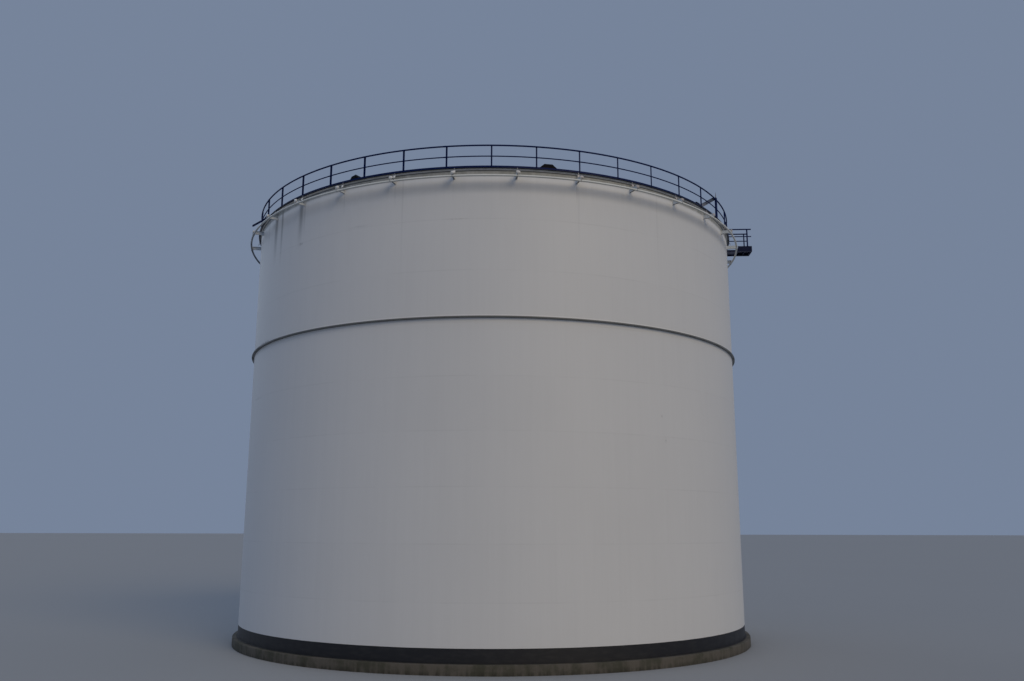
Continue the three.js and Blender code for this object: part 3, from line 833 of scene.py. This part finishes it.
def grown(tree, **values):
    """The plain mesh that a geometry tree makes from the inputs named, spaces written as _."""
    holder = bpy.data.objects.new("holder", bpy.data.meshes.new("holder"))
    scene.collection.objects.link(holder)
    modifier = holder.modifiers.new("tree", "NODES")
    modifier.node_group = tree
    for socket in tree.interface.items_tree:
        key = socket.name.replace(" ", "_")
        if socket.in_out == "INPUT" and key in values:
            modifier[socket.identifier] = values[key]
    seen = holder.evaluated_get(bpy.context.evaluated_depsgraph_get())
    mesh = bpy.data.meshes.new_from_object(seen)
    holder.modifiers.remove(modifier)
    bpy.data.objects.remove(holder)
    return mesh


def copies_round(shape, material, count, first, step, radius=0.0, height=0.0):
    """A mesh with copies of a local shape round the tank's axis."""
    item = bpy.data.objects.new("item", shape.mesh("item"))
    scene.collection.objects.link(item)
    mesh = grown(ROUND_RIM, Item=item, Count=count, First_azimuth=first, Azimuth_step=step,
                 Radius=radius, Height=height, Material=material)
    bpy.data.objects.remove(item)
    return mesh


def items_round(shape, count, first, step):
    """Copies of a shape drawn at its own radius, grown one material at a time so that each stays."""
    meshes = []
    for index, material in enumerate(shape.materials):
        faces = [face for face, paint in zip(shape.faces, shape.paints) if paint == index]
        used = sorted({i for face in faces for i in face})
        place = {old: new for new, old in enumerate(used)}
        part = Shape()
        part.points = [shape.points[i] for i in used]
        part.faces = [tuple(place[i] for i in face) for face in faces]
        part.paints, part.materials = [0] * len(faces), [material]
        meshes.append(copies_round(part, material, count, first, step))
    return meshes


def rim_tube(radius, height, start, end, tube, material, sides=12):
    steps = max(3, round(end - start) + 1)
    return grown(RIM_TUBE, Radius=radius, Height=height, First_azimuth=start, Swept_angle=end - start,
                 Tube_radius=tube, Steps=steps, Sides=sides, Material=material)


def build_base():
    """The concrete plinth, its side a little wavy, with a groove at each joint of its casting."""
    core = 0.4
    groove_half, groove_edge, groove_depth = 0.025, 0.055, 0.009
    edges = (-groove_edge, -groove_half, groove_half, groove_edge)
    joints = [azimuth + edge for azimuth in range(0, 360, CAST_BAY) for edge in edges]
    stops = sorted(set(round(a % 360, 4) for a in ALL_ROUND + joints))

    def swell(azimuth, radius, z):
        if radius <= core:
            return 0.0
        off = abs((azimuth + CAST_BAY / 2) % CAST_BAY - CAST_BAY / 2)
        groove = -groove_depth if off < (groove_half + groove_edge) / 2 else 0.0
        a = math.radians(azimuth)
        wave = 0.0022 * math.sin(17 * a + 3 * z) + 0.0016 * math.sin(41 * a + 9 * z + 1.3)
        return groove + wave - 0.004

    side = [(BASE_RADIUS, z) for z in (0.0, 0.12, 0.25, 0.372)]
    edge = [(BASE_RADIUS - 0.008, 0.389), (BASE_RADIUS - 0.025, BASE_HEIGHT)]
    profile = [(core, 0.0)] + side + edge + [(core, BASE_HEIGHT)]
    shape = Shape().rim_bar(profile, stops, MOSSY_CONCRETE, whole=True, swell=swell)
    shape.lathe([(0, 0.0), (core, 0.0), (core, BASE_HEIGHT), (0, BASE_HEIGHT)], MOSSY_CONCRETE)
    piece("plinth", shape.mesh("plinth"), ["concrete_base"])


def build_floor():
    """The floor plate, and the fillet weld where the shell stands on it."""
    low, high = BASE_HEIGHT + GAP, SHELL_FOOT - GAP
    disc = [(0, low), (FLOOR_RADIUS, low), (FLOOR_RADIUS, high), (0, high)]
    plate = Shape().lathe(disc, TARRED_STEEL, 360)
    foot, leg, throat = SHELL_RADIUS + 0.0002, 0.009, 0.0035
    fillet = [(foot, SHELL_FOOT), (foot + leg, SHELL_FOOT)]
    fillet += [(foot + throat, SHELL_FOOT + throat), (foot, SHELL_FOOT + leg)]
    plate.rim_bar(fillet, ALL_ROUND, TARRED_STEEL, whole=True)
    piece("floor_and_foot_weld", plate.mesh("floor_and_foot_weld"), ["floor_plate"])


def build_shell():
    """The wall in one closed solid, with a bead at each level seam, and the upright beads."""
    bead, bead_half, crown_half = 0.0009, 0.009, 0.004
    outer = [(SHELL_RADIUS, SHELL_FOOT)]
    for course in range(1, COURSES):
        z = SHELL_FOOT + course * COURSE_HEIGHT
        outer += [(SHELL_RADIUS, z - bead_half), (SHELL_RADIUS + bead, z - crown_half)]
        outer += [(SHELL_RADIUS + bead, z + crown_half), (SHELL_RADIUS, z + bead_half)]
    inner = SHELL_RADIUS - SHELL_THICKNESS
    profile = outer + [(SHELL_RADIUS, RIM), (inner, RIM), (inner, SHELL_FOOT)]
    meshes = [Shape().rim_bar(profile, ALL_ROUND, SHELL_PAINT, whole=True).mesh("plates")]

    section = [(-0.002, -0.008), (bead, -0.0035), (bead, 0.0035), (-0.002, 0.008)]
    weld = Shape().prism(section, 0.0, COURSE_HEIGHT - 2 * bead_half, SHELL_PAINT, "z")
    for course in range(COURSES):
        first = SEAM_AZIMUTH + (SEAM_COURSE - course) * SEAM_SHIFT
        z = SHELL_FOOT + course * COURSE_HEIGHT + bead_half
        meshes.append(copies_round(weld, SHELL_PAINT, PLATES_ROUND, first, PLATE_STEP, SHELL_RADIUS, z))
    segments = [f"shell_segment_{i + 1}" for i in range(SEGMENTS)]
    piece("shell_plating", gathered("shell_plating", meshes), segments, smooth=4)


def build_curb_ring():
    """The angle on the shell's top edge, its leg down the shell and its flange outward."""
    face, thick = SHELL_RADIUS + GAP, 0.010
    low, out = RIM - CURB_LEG, face + CURB_FLANGE
    curb = [
        (face, low),
        (face + 0.008, low),
        (face + thick, low + 0.003),
        (face + thick, RIM - 0.016),
        (face + 0.016, RIM - thick),
        (out - 0.003, RIM - thick),
        (out, RIM - 0.008),
        (out, RIM),
        (face, RIM),
    ]
    shape = Shape().rim_bar(curb, ALL_ROUND, CURB_PAINT, whole=True)
    piece("curb_ring", shape.mesh("curb_ring"), ["curb_angle"])


def build_stiffener_ring():
    """The wind girder: a level leg with an upturned lip, and a cover plate at each joint."""
    face, thick = SHELL_RADIUS + GAP, 0.010
    z, out = RING_HEIGHT, face + RING_LEG
    girder = [
        (face, z),
        (out - 0.006, z),
        (out - 0.002, z + 0.002),
        (out, z + 0.006),
        (out, z + RING_LIP - 0.003),
        (out - 0.003, z + RING_LIP),
        (out - thick, z + RING_LIP),
        (out - thick, z + 0.016),
        (out - 0.016, z + thick),
        (face + 0.006, z + thick),
        (face, z + 0.016),
    ]
    ring = Shape().rim_bar(girder, ALL_ROUND, GIRDER_PAINT, whole=True).mesh("ring")
    joint = Shape().block((-0.002, 0.0015), (-0.006, 0.006), (0.001, RING_LIP - 0.001), GIRDER_PAINT)
    joints = copies_round(joint, GIRDER_PAINT, GIRDER_JOINTS, 9.0, 360 / GIRDER_JOINTS, out, z)
    piece("stiffener_ring", gathered("stiffener_ring", [ring, joints]), ["wind_girder"])


def roof_z(radius):
    return ROOF_Z + ROOF_SHEET + max(0.0, ROOF_FLAT - radius) * ROOF_SLOPE


def build_roof():
    """Four quadrants of sheet that step up where a ring of sheets laps the one outside it."""
    sheet = [(ROOF_EDGE, ROOF_Z), (ROOF_EDGE, ROOF_Z + ROOF_SHEET), (ROOF_FLAT, ROOF_Z + ROOF_SHEET)]
    rise = 0.0
    for _, at, _, _ in ROOF_RINGS[:-1]:
        sheet.append((at, roof_z(at) + rise))
        rise += ROOF_LAP
        sheet.append((at - 0.002, roof_z(at) + rise))
    eye_top = roof_z(ROOF_EYE)
    sheet += [(ROOF_EYE, eye_top + rise), (ROOF_EYE, eye_top - ROOF_SHEET), (ROOF_FLAT, ROOF_Z)]
    inset = degrees_along(GAP / 2, ROOF_EYE)
    for i in range(4):
        sweep = sweep_of((i - 0.5) * 90 + inset, (i + 0.5) * 90 - inset)
        shape = Shape().rim_bar(sheet, sweep, ROOF_PAINT)
        name = f"roof_plating_{i + 1}"
        piece(name, shape.mesh("roof_plating"), [f"roof_quadrant_{i + 1}"], smooth=8)


def build_roof_laps():
    """The radial laps, each a thin sheet edge on the slope."""
    sunk, half = 0.002, 0.035
    meshes = []
    for i, (outer, inner, count, first) in enumerate(ROOF_RINGS):
        rise = i * ROOF_LAP
        outline = [
            (inner, roof_z(inner) + rise - sunk),
            (outer, roof_z(outer) + rise - sunk),
            (outer, roof_z(outer) + rise + ROOF_LAP),
            (inner, roof_z(inner) + rise + ROOF_LAP),
        ]
        strip = Shape().prism(outline, -half, half, ROOF_PAINT)
        meshes.append(copies_round(strip, ROOF_PAINT, count, first, 360 / count))
    piece("roof_laps", gathered("roof_laps", meshes))


def build_centre_vent():
    """A bolted flange over the roof's eye, a neck, and a domed cowl on stays."""
    z = roof_z(ROOF_EYE) + 0.0103
    flange, neck, bolt_ring = 0.69, 0.25, 0.64
    shape = Shape()
    shape.lathe([(0, z), (flange, z - 0.012), (flange, z + 0.004), (0, z + 0.014)], GREY_STEEL)
    pipe = [(0, z), (neck, z), (neck, z + 0.31), (neck + 0.02, z + 0.31)]
    pipe += [(neck + 0.02, z + 0.325), (0, z + 0.325)]
    shape.lathe(pipe, GREY_STEEL)
    dome = [(0, z + 0.30), (0.435, z + 0.30), (0.45, z + 0.285), (0.458, z + 0.30), (0.455, z + 0.355)]
    dome += [(0.43, z + 0.385), (0.33, z + 0.435), (0.18, z + 0.475), (0, z + 0.49)]
    shape.lathe(dome, GREY_STEEL)
    bolt = Shape().rod((0, 0, -0.004), (0, 0, 0.020), 0.014, GREY_STEEL, 6)
    stay = Shape().block((0.0, 0.16), (-0.004, 0.004), (0.0, 0.05), GREY_STEEL)
    meshes = [
        shape.mesh("vent_body"),
        copies_round(bolt, GREY_STEEL, 16, 4.0, 22.5, bolt_ring, z + 0.002),
        copies_round(stay, GREY_STEEL, 6, 0.0, 60.0, neck, z + 0.25),
    ]
    piece("centre_vent_cowl", gathered("centre_vent_cowl", meshes), ["centre_vent"])


def vent_shape():
    """A neck under a hood whose ridge is at the top of its upright outer face, set at its own radius."""
    half, ridge, slope_height, skirt = 0.47, 0.175, 0.25, 0.04
    eave, inner, face = VENT_TOP - slope_height, VENT_FACE - 0.48, VENT_FACE - 0.012
    shape = Shape()
    # the hood: its eaves, its ridge, and its skirt's lower edge
    corners = [(inner, -half), (face, -half), (face, half), (inner, half)]
    points = [(x, y, eave) for x, y in corners] + [(face, -ridge, VENT_TOP), (face, ridge, VENT_TOP)]
    points += [(x, y, eave - skirt) for x, y in corners]
    faces = [(0, 4, 5, 3), (0, 1, 4), (2, 3, 5), (1, 2, 5, 4), (6, 7, 1, 0), (7, 8, 2, 1)]
    faces += [(8, 9, 3, 2), (9, 6, 0, 3), (9, 8, 7, 6)]
    shape.add(points, faces, VENT_PAINT)
    # a folded edge round the outer face
    edge = [(-half, eave - skirt), (half, eave - skirt), (half, eave)]
    edge += [(ridge, VENT_TOP), (-ridge, VENT_TOP), (-half, eave)]
    hem = 0.022
    for (y0, z0), (y1, z1) in zip(edge, edge[1:] + edge[:1]):
        length = math.hypot(y1 - y0, z1 - z0)
        ny, nz = -(z1 - z0) / length * hem, (y1 - y0) / length * hem
        strip = [(y0, z0), (y1, z1), (y1 + ny, z1 + nz), (y0 + ny, z0 + nz)]
        shape.prism(strip, face - 0.001, VENT_FACE, VENT_PAINT, "x")
    # louvre blades between the sides
    for i in range(5):
        z = eave - 0.01 + 0.048 * i
        wide = min(half, ridge + (half - ridge) * (VENT_TOP - z) / slope_height) - 0.05
        blade = [(face - 0.001, z), (face + 0.010, z - 0.012)]
        blade += [(face + 0.010, z - 0.009), (face - 0.001, z + 0.010)]
        shape.prism(blade, -wide, wide, VENT_PAINT)
    neck_foot = POST_FOOT + 0.0085
    shape.block((VENT_FACE - 0.40, VENT_FACE - 0.06), (-0.30, 0.30), (neck_foot, eave), VENT_PAINT)
    return shape


def build_vents():
    """Three vents at the front as in the photo, the first a little askew, and the rest spaced evenly."""
    rest = (360 - 2 * VENT_PITCH) / (VENTS - 2)
    to_face = Matrix.Translation((VENT_FACE, 0, 0))
    askew = to_face @ Matrix.Rotation(math.radians(FIRST_VENT_TURN), 4, "Z") @ to_face.inverted()
    for i in range(VENTS):
        along = (i - 1) * VENT_PITCH if i < 3 else VENT_PITCH + (i - 2) * rest
        shape = vent_shape()
        if i == 0:
            shape.placed(askew)
        shape.turned(VENT_AZIMUTH + along)
        name = f"vent_cowl_{i + 1}"
        piece(name, shape.mesh("vent_cowl"), [f"roof_vent_{i + 1}"], smooth=20)


def angle_outline(x, y, half, side=1):
    """The outline of an angle bar from above, open towards +X and towards +Y, or -Y for a side of -1."""
    inner = -half + ANGLE_THICKNESS
    outline = [(-half, -half), (half, -half), (half, inner), (inner, inner), (inner, half), (-half, half)]
    return [(x + a, y + side * b) for a, b in outline]


def post_shape(height):
    """An angle post on a foot plate with two bolts. X is outward from the rail's line."""
    z, plate = POST_FOOT, 0.010
    shape = Shape().prism(angle_outline(0, 0, POST_HALF), z, RIM + height, NAVY_PAINT, "z")
    shape.block((-0.046, 0.046), (-0.060, 0.060), (z, z + plate), NAVY_PAINT, 0.003)
    for y in (-0.044, 0.044):
        shape.rod((0.015, y, z + plate - 0.002), (0.015, y, z + plate + 0.012), 0.011, NAVY_PAINT, 6)
    return shape


def rail_panel(name, start, end, posts, jamb, replaced):
    """Two rails, the kerb plate and the posts of a panel. A post at the jamb is the tall one."""
    kerb = [(RAIL_RADIUS - KERB_HALF, RIM + KERB_LOW), (RAIL_RADIUS + KERB_HALF, RIM + KERB_LOW)]
    kerb += [(RAIL_RADIUS + KERB_HALF, RIM + KERB_HIGH), (RAIL_RADIUS - KERB_HALF, RIM + KERB_HIGH)]
    plain = [azimuth for azimuth in posts if azimuth != jamb]
    pitch = plain[1] - plain[0]
    post = post_shape(TOP_RAIL - 0.01)
    meshes = [
        rim_tube(RAIL_RADIUS, RIM + TOP_RAIL, start, end, RAIL_TUBE, NAVY_PAINT),
        rim_tube(RAIL_RADIUS, RIM + MID_RAIL, start, end, MID_TUBE, NAVY_PAINT),
        Shape().rim_bar(kerb, sweep_of(start, end), NAVY_PAINT).mesh("kerb"),
        copies_round(post, NAVY_PAINT, len(plain), plain[0], pitch, RAIL_RADIUS),
    ]
    if jamb in posts:
        meshes.append(post_shape(JAMB_HEIGHT).turned(jamb, (RAIL_RADIUS, 0, 0)).mesh("jamb"))
    # a sleeve on both rails where the next panel starts
    sleeved = end - degrees_along(0.1, RAIL_RADIUS)
    for height, tube in ((TOP_RAIL, RAIL_TUBE), (MID_RAIL, MID_TUBE)):
        meshes.append(rim_tube(RAIL_RADIUS, RIM + height, sleeved, end, tube + SLEEVE, NAVY_PAINT))
    piece(name, gathered(name, meshes), [replaced])


def post_azimuth(index):
    wider = LONGER_BY * min(max(LONG_PANEL + PANEL_BAYS - index, 0), PANEL_BAYS)
    narrower = SHORTER_BY * min(max(index - SHORT_PANEL, 0), PANEL_BAYS)
    return RAIL_AZIMUTH + index * POST_PITCH - wider - narrower


def build_handrail():
    """The panels from the landing round to the hoist post, and the short one from there on."""
    flat = degrees_along(POST_HALF, RAIL_RADIUS)
    hoist_seat = degrees_along(0.0753, RAIL_RADIUS)
    hoist = post_azimuth(HOIST_POST)
    first, last = LANDING_AZIMUTH + LANDING_JAMB - 360, LANDING_AZIMUTH - LANDING_JAMB
    stops = [first] + [post_azimuth(k) for k in range(FIRST_POST, HOIST_POST)]
    count = 0
    for i in range(0, len(stops), PANEL_BAYS):
        posts, later = stops[i:i + PANEL_BAYS], stops[i + PANEL_BAYS:]
        end = later[0] - flat if later else hoist - hoist_seat
        count += 1
        rail_panel(f"rim_rail_{count}", posts[0] - flat, end, posts, first, f"handrail_panel_{count}")
    posts = [post_azimuth(k) for k in range(HOIST_POST + 1, LAST_POST + 1)] + [last]
    count += 1
    start = hoist + hoist_seat
    rail_panel(f"rim_rail_{count}", start, last + flat, posts, last, f"handrail_panel_{count}")


def build_hoist_post():
    """A box post with a cap, a foot plate and two pairs of bolts."""
    z, top = POST_FOOT, RIM + 1.1
    cap, foot = 0.010, 0.014
    wide = (-0.045, 0.045), (-0.075, 0.075)
    shape = Shape().block((-0.042, 0.042), (-0.072, 0.072), (z, top - cap), NAVY_PAINT, 0.010)
    shape.block(*wide, (top - cap, top), NAVY_PAINT, 0.002)
    shape.block(*wide, (z, z + foot), NAVY_PAINT, 0.002)
    for y in (-0.050, 0.050):
        for bolt_z in (z + 0.3, top - 0.2):
            shape.rod((0, y, bolt_z), (0.0455, y, bolt_z), 0.012, NAVY_PAINT, 6)
    shape.turned(post_azimuth(HOIST_POST), (RAIL_RADIUS, 0, 0))
    piece("hoist_pillar", shape.mesh("hoist_pillar"), ["hoist_post"])


def bracket_shape():
    """A channel bracket with its pad on the shell, over the pipe that hangs from it in a U-bolt."""
    pipe_z = RIM - PIPE_DROP
    seat = pipe_z + PIPE_RADIUS - 0.008
    top, half, t = seat + 0.165, 0.035, 0.008
    inner, outer = SHELL_RADIUS + 0.002, 13.045
    section = [(-half, seat), (half, seat), (half, seat + t), (-half + t, seat + t)]
    section += [(-half + t, top - t), (half, top - t), (half, top), (-half, top)]
    shape = Shape().prism(section, inner, outer, BRACKET_PAINT, "x")
    pad = (SHELL_RADIUS + GAP, SHELL_RADIUS + 0.010), (-0.060, 0.060), (seat - 0.025, seat + 0.190)
    shape.block(*pad, PAD_PAINT, 0.004)

    grip, leg_top, bar, y = 0.0505, 0.062, 0.006, 0.010
    bend = [(-grip * math.cos(a), -grip * math.sin(a)) for a in np.linspace(0, math.pi, 11)]
    clamp = [(-grip, leg_top)] + bend + [(grip, leg_top)]
    shape.bent_rod([(PIPE_RING + x, y, pipe_z + z) for x, z in clamp], bar, GREY_STEEL)
    for x in (PIPE_RING - grip, PIPE_RING + grip):
        shape.rod((x, y, seat + t), (x, y, seat + t + 0.011), 2 * bar, GREY_STEEL, 6)
    return shape


def nozzle_shape():
    """A riser on the pipe that ends in a flat spray head, and a deflector that hangs from the curb ring."""
    pipe_z = RIM - PIPE_DROP
    riser_x, riser_y, riser = PIPE_RING + 0.01, 0.045, 0.017
    foot, top = (riser_x, riser_y, pipe_z + 0.030), (riser_x, riser_y, pipe_z + 0.125)
    shape = Shape().rod(foot, top, riser, GREY_STEEL, 10)
    # the head is a ball with flattened poles, drawn out along the rim
    ball = [(0, -1), (0.45, -0.92), (0.85, -0.55), (1.0, 0.0), (0.85, 0.55), (0.45, 0.92), (0, 1)]
    out, along, high = 0.050, 0.098, 0.060
    centre_x, centre_z = PIPE_RING + 0.02, pipe_z + 0.155
    unit = Shape().lathe(ball, NOZZLE_PAINT, 12)
    head = [(centre_x + out * x, along * y, centre_z + high * z) for x, y, z in unit.points]
    shape.add(head, unit.faces, NOZZLE_PAINT)
    shape.block((12.642, 12.648), (-0.018, 0.018), (RIM - 0.20, RIM - 0.0095), GREY_STEEL, 0.001)
    deflector = [(12.649, RIM - 0.115), (12.659, RIM - 0.115), (12.700, RIM - 0.225), (12.690, RIM - 0.230)]
    shape.prism(deflector, -0.045, 0.045, NOZZLE_PAINT)
    return shape


def build_spray_pipe():
    """Each section of the pipe with a sleeve at both ends, its brackets and its spray heads."""
    span = 360 / PIPE_SECTIONS
    per_section = BRACKETS // PIPE_SECTIONS
    inset = degrees_along(GAP / 2, PIPE_RING)
    sleeve = degrees_along(0.06, PIPE_RING)
    beside = degrees_along(0.03, PIPE_RING)
    thicker = PIPE_RADIUS + 0.006
    bracket, nozzle = bracket_shape(), nozzle_shape()
    z = RIM - PIPE_DROP
    for i in range(PIPE_SECTIONS):
        first = BRACKET_AZIMUTH + i * span
        start = first - BRACKET_STEP / 2 + inset
        end = start + span - 2 * inset
        meshes = [
            rim_tube(PIPE_RING, z, start, end, PIPE_RADIUS, PIPE_PAINT, 20),
            rim_tube(PIPE_RING, z, end - sleeve, end, thicker, PIPE_PAINT, 20),
            rim_tube(PIPE_RING, z, start, start + sleeve, thicker, PIPE_PAINT, 20),
        ]
        meshes += items_round(bracket, per_section, first, BRACKET_STEP)
        meshes += items_round(nozzle, per_section, first + beside, BRACKET_STEP)
        name = f"spray_ring_{i + 1}"
        piece(name, gathered(name, meshes), [f"spray_pipe_{i + 1}"])


def build_rim_beam():
    """A short I-beam that leans out from the post it starts at, with a knee plate up that post."""
    half, height, low, lean = 0.03, 0.08, POST_FOOT, math.radians(12.5)
    web, flange, end_plate = 0.006, 0.007, 0.006
    ahead, back = -1.53, 0.04
    top = low + height
    shape = Shape()
    for z in (low, top - flange):
        shape.block((-half, half), (ahead, back), (z, z + flange), NAVY_PAINT, 0.002)
    web_z = (low + flange - 0.001, top - flange + 0.001)
    shape.block((-web / 2, web / 2), (ahead, back), web_z, NAVY_PAINT)
    for y in (ahead, back - end_plate):
        shape.block((-half, half), (y, y + end_plate), (low + 0.002, top - 0.002), NAVY_PAINT)
    knee_top, knee_reach = RIM + 0.25, -0.45
    knee = [(POST_HALF, top - 0.001), (POST_HALF, knee_top), (-0.02, knee_top)]
    knee += [(knee_reach, top), (knee_reach, top - 0.001)]
    shape.prism(knee, -half, -half + 0.012, NAVY_PAINT, "x")
    # the beam's near side just clears the post's outer corner
    line = RAIL_RADIUS + POST_HALF + GAP + half / math.cos(lean) + POST_HALF * math.tan(lean)
    shape.placed(Matrix.Translation((line, 0, 0)) @ Matrix.Rotation(lean, 4, "Z"))
    shape.turned(post_azimuth(BEAM_POST))
    piece("outrigger_beam", shape.mesh("outrigger_beam"), ["rim_beam"])


# The landing: its beams' underside and top, its step and its deck, and where it starts, folds and ends
LANDING_LOW, LANDING_HIGH = RIM - 0.057, RIM + 0.25
STEP_TOP, DECK_TOP = RIM + 0.04, RIM + 0.15
LANDING_START, LANDING_FOLD, LANDING_END = 12.577, 13.25, 14.0
BEAM_HALF = 0.03  # half the width of a beam of the landing
SPLICE_PLATE = 0.015


def landing_beam(shape, side):
    """A channel with its back outward, and its coped end over and in front of the curb angle."""
    low, high, flange, back = LANDING_LOW, LANDING_HIGH, 0.010, 0.009
    out, inn = side * (LANDING_HALF + BEAM_HALF), side * (LANDING_HALF - BEAM_HALF)
    web = out - side * back
    section = [(out, low), (inn, low), (inn, low + flange), (web, low + flange)]
    section += [(web, high - flange), (inn, high - flange), (inn, high), (out, high)]
    shape.prism(section, LANDING_FOLD, LANDING_END - SPLICE_PLATE, LANDING_PAINT, "x")
    cope_x, cope_z = 12.6512, RIM + GAP
    cope = [(cope_x, low), (LANDING_FOLD, low), (LANDING_FOLD, STEP_TOP)]
    cope += [(LANDING_START, STEP_TOP), (LANDING_START, cope_z), (cope_x, cope_z)]
    shape.prism(cope, min(out, inn), max(out, inn), LANDING_PAINT)


def tread_bars(shape, first, count, top):
    """Raised bars across a plate whose top is given."""
    wide, pitch, high = 0.012, 0.05, 0.0022
    across = (-LANDING_HALF + 0.05, LANDING_HALF - 0.05)
    for i in range(count):
        x = first + pitch * i
        shape.block((x, x + wide), across, (top, top + high), LANDING_PAINT)


def build_landing():
    """The first bay of the gangway: two beams, the step and the deck between them, and the splice."""
    near, fold, far, half = LANDING_START, LANDING_FOLD, LANDING_END, LANDING_HALF
    plate = 0.010
    between = (-half + BEAM_HALF, half - BEAM_HALF)
    shape = Shape()
    for side in (-1, 1):
        landing_beam(shape, side)
    shape.block((near, fold + 0.004), between, (STEP_TOP - plate, STEP_TOP), LANDING_PAINT)
    shape.block((fold, fold + plate), between, (STEP_TOP, DECK_TOP), LANDING_PAINT)
    deck_y = (-half - 0.018, half + 0.018)
    shape.block((fold, far - SPLICE_PLATE), deck_y, (DECK_TOP - plate, DECK_TOP), LANDING_PAINT)
    stiffener_y, stiffener_z = (-half + 0.02, half - 0.02), (LANDING_LOW + 0.02, DECK_TOP - plate)
    for x in (13.28, 13.62, 13.94):
        shape.block((x - 0.006, x + 0.006), stiffener_y, stiffener_z, LANDING_PAINT)

    # the splice plate and the bolts beside its edges
    splice_y = (-half - BEAM_HALF, half + BEAM_HALF)
    shape.block((far - SPLICE_PLATE, far), splice_y, (LANDING_LOW, LANDING_HIGH), LANDING_PAINT)
    head_x, seat_x = far - 0.029, far - SPLICE_PLATE
    for y in (-half + 0.005, half - 0.005):
        for z in (LANDING_LOW + 0.05, (LANDING_LOW + LANDING_HIGH) / 2, LANDING_HIGH - 0.05):
            shape.rod((head_x, y, z), (seat_x, y, z), 0.015, GREY_STEEL, 6)
    tread_bars(shape, fold + 0.05, 13, DECK_TOP)
    tread_bars(shape, near + 0.04, 14, STEP_TOP)
    shape.turned(LANDING_AZIMUTH)
    piece("landing_bridge", shape.mesh("landing_bridge"), ["landing_frame"])


def build_landing_handrails():
    """Two rails on one post at each side, with a sleeve at both ends of a rail."""
    start, end, sleeve = 12.5767, 13.99, 0.05
    top, middle = RIM + 1.21, RIM + 0.802
    post_x, foot = 13.775, LANDING_HIGH + GAP
    for side, name in ((-1, "near"), (1, "far")):
        y = side * LANDING_HALF
        rail = Shape().rod((start, y, top), (end, y, top), RAIL_TUBE, NAVY_PAINT, 14)
        rail.rod((start, y, middle), (end, y, middle), MID_TUBE, NAVY_PAINT)
        rail.prism(angle_outline(post_x, y, POST_HALF, -side), foot, top - 0.01, NAVY_PAINT, "z")
        foot_plate = (post_x - 0.05, post_x + 0.05), (y - 0.028, y + 0.028), (foot, foot + 0.010)
        rail.block(*foot_plate, NAVY_PAINT, 0.002)
        for x in (start, end - sleeve):
            rail.rod((x, y, top), (x + sleeve, y, top), RAIL_TUBE + SLEEVE, NAVY_PAINT, 14)
            rail.rod((x, y, middle), (x + sleeve, y, middle), MID_TUBE + SLEEVE, NAVY_PAINT)
        rail.turned(LANDING_AZIMUTH)
        mesh = rail.mesh("landing_handrail")
        piece(f"landing_handrail_{name}", mesh, [f"landing_rail_{name}"])


def paint_kept_node(name, paint):
    """Gives a node that is kept from the frame its finish."""
    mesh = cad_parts[name].data
    mesh.materials.clear()
    mesh.materials.append(paint)


build_base()
build_floor()
build_shell()
build_curb_ring()
build_stiffener_ring()
build_roof()
build_roof_laps()
build_centre_vent()
build_vents()
build_handrail()
build_hoist_post()
build_spray_pipe()
build_rim_beam()
build_landing()
build_landing_handrails()
paint_kept_node("hoist_arm", ARM_PAINT)
paint_kept_node("hoist_tip", GREY_STEEL)


def floor_material():
    p = Paint("studio_floor")
    colour = p.shade(rgb(0.42, 0.43, 0.44), p.plus(0.985, (p.noise(0.05, detail=2.0), 0.03)))
    return p.finish(colour, 0.9)


def build_studio_floor():
    size = 900.0
    corners = [(-size, -size, 0), (size, -size, 0), (size, size, 0), (-size, size, 0)]
    mesh = new_mesh("studio_floor", corners, [(0, 1, 2, 3)], [0], [floor_material()])
    floor = bpy.data.objects.new("studio_floor", mesh)
    scene.collection.objects.link(floor)


# Soft suns: name, azimuth, height in degrees, strength, colour
SUNS = (
    ("key", 32, 27, 0.70, (1.0, 0.80, 0.50)),
    ("rim_light", -140, 25, 0.16, (0.86, 0.94, 1.0)),
)
SUN_SPREAD = 34  # degrees
BACKDROP = rgb(0.182, 0.230, 0.325)


def build_light():
    scene.view_settings.view_transform = "Standard"
    scene.world = bpy.data.worlds.new("studio")
    scene.world.use_nodes = True
    background = scene.world.node_tree.nodes["Background"]
    background.inputs["Color"].default_value = BACKDROP
    background.inputs["Strength"].default_value = 1.0
    for name, azimuth, height, energy, colour in SUNS:
        lamp = bpy.data.objects.new(name, bpy.data.lights.new(name, "SUN"))
        lamp.data.energy = energy
        lamp.data.angle = math.radians(SUN_SPREAD)
        lamp.data.color = colour
        a, up = math.radians(azimuth), math.radians(height)
        away = Vector((math.cos(up) * math.sin(a), -math.cos(up) * math.cos(a), math.sin(up)))
        lamp.rotation_euler = away.to_track_quat("Z", "Y").to_euler()
        scene.collection.objects.link(lamp)


build_studio_floor()
build_light()
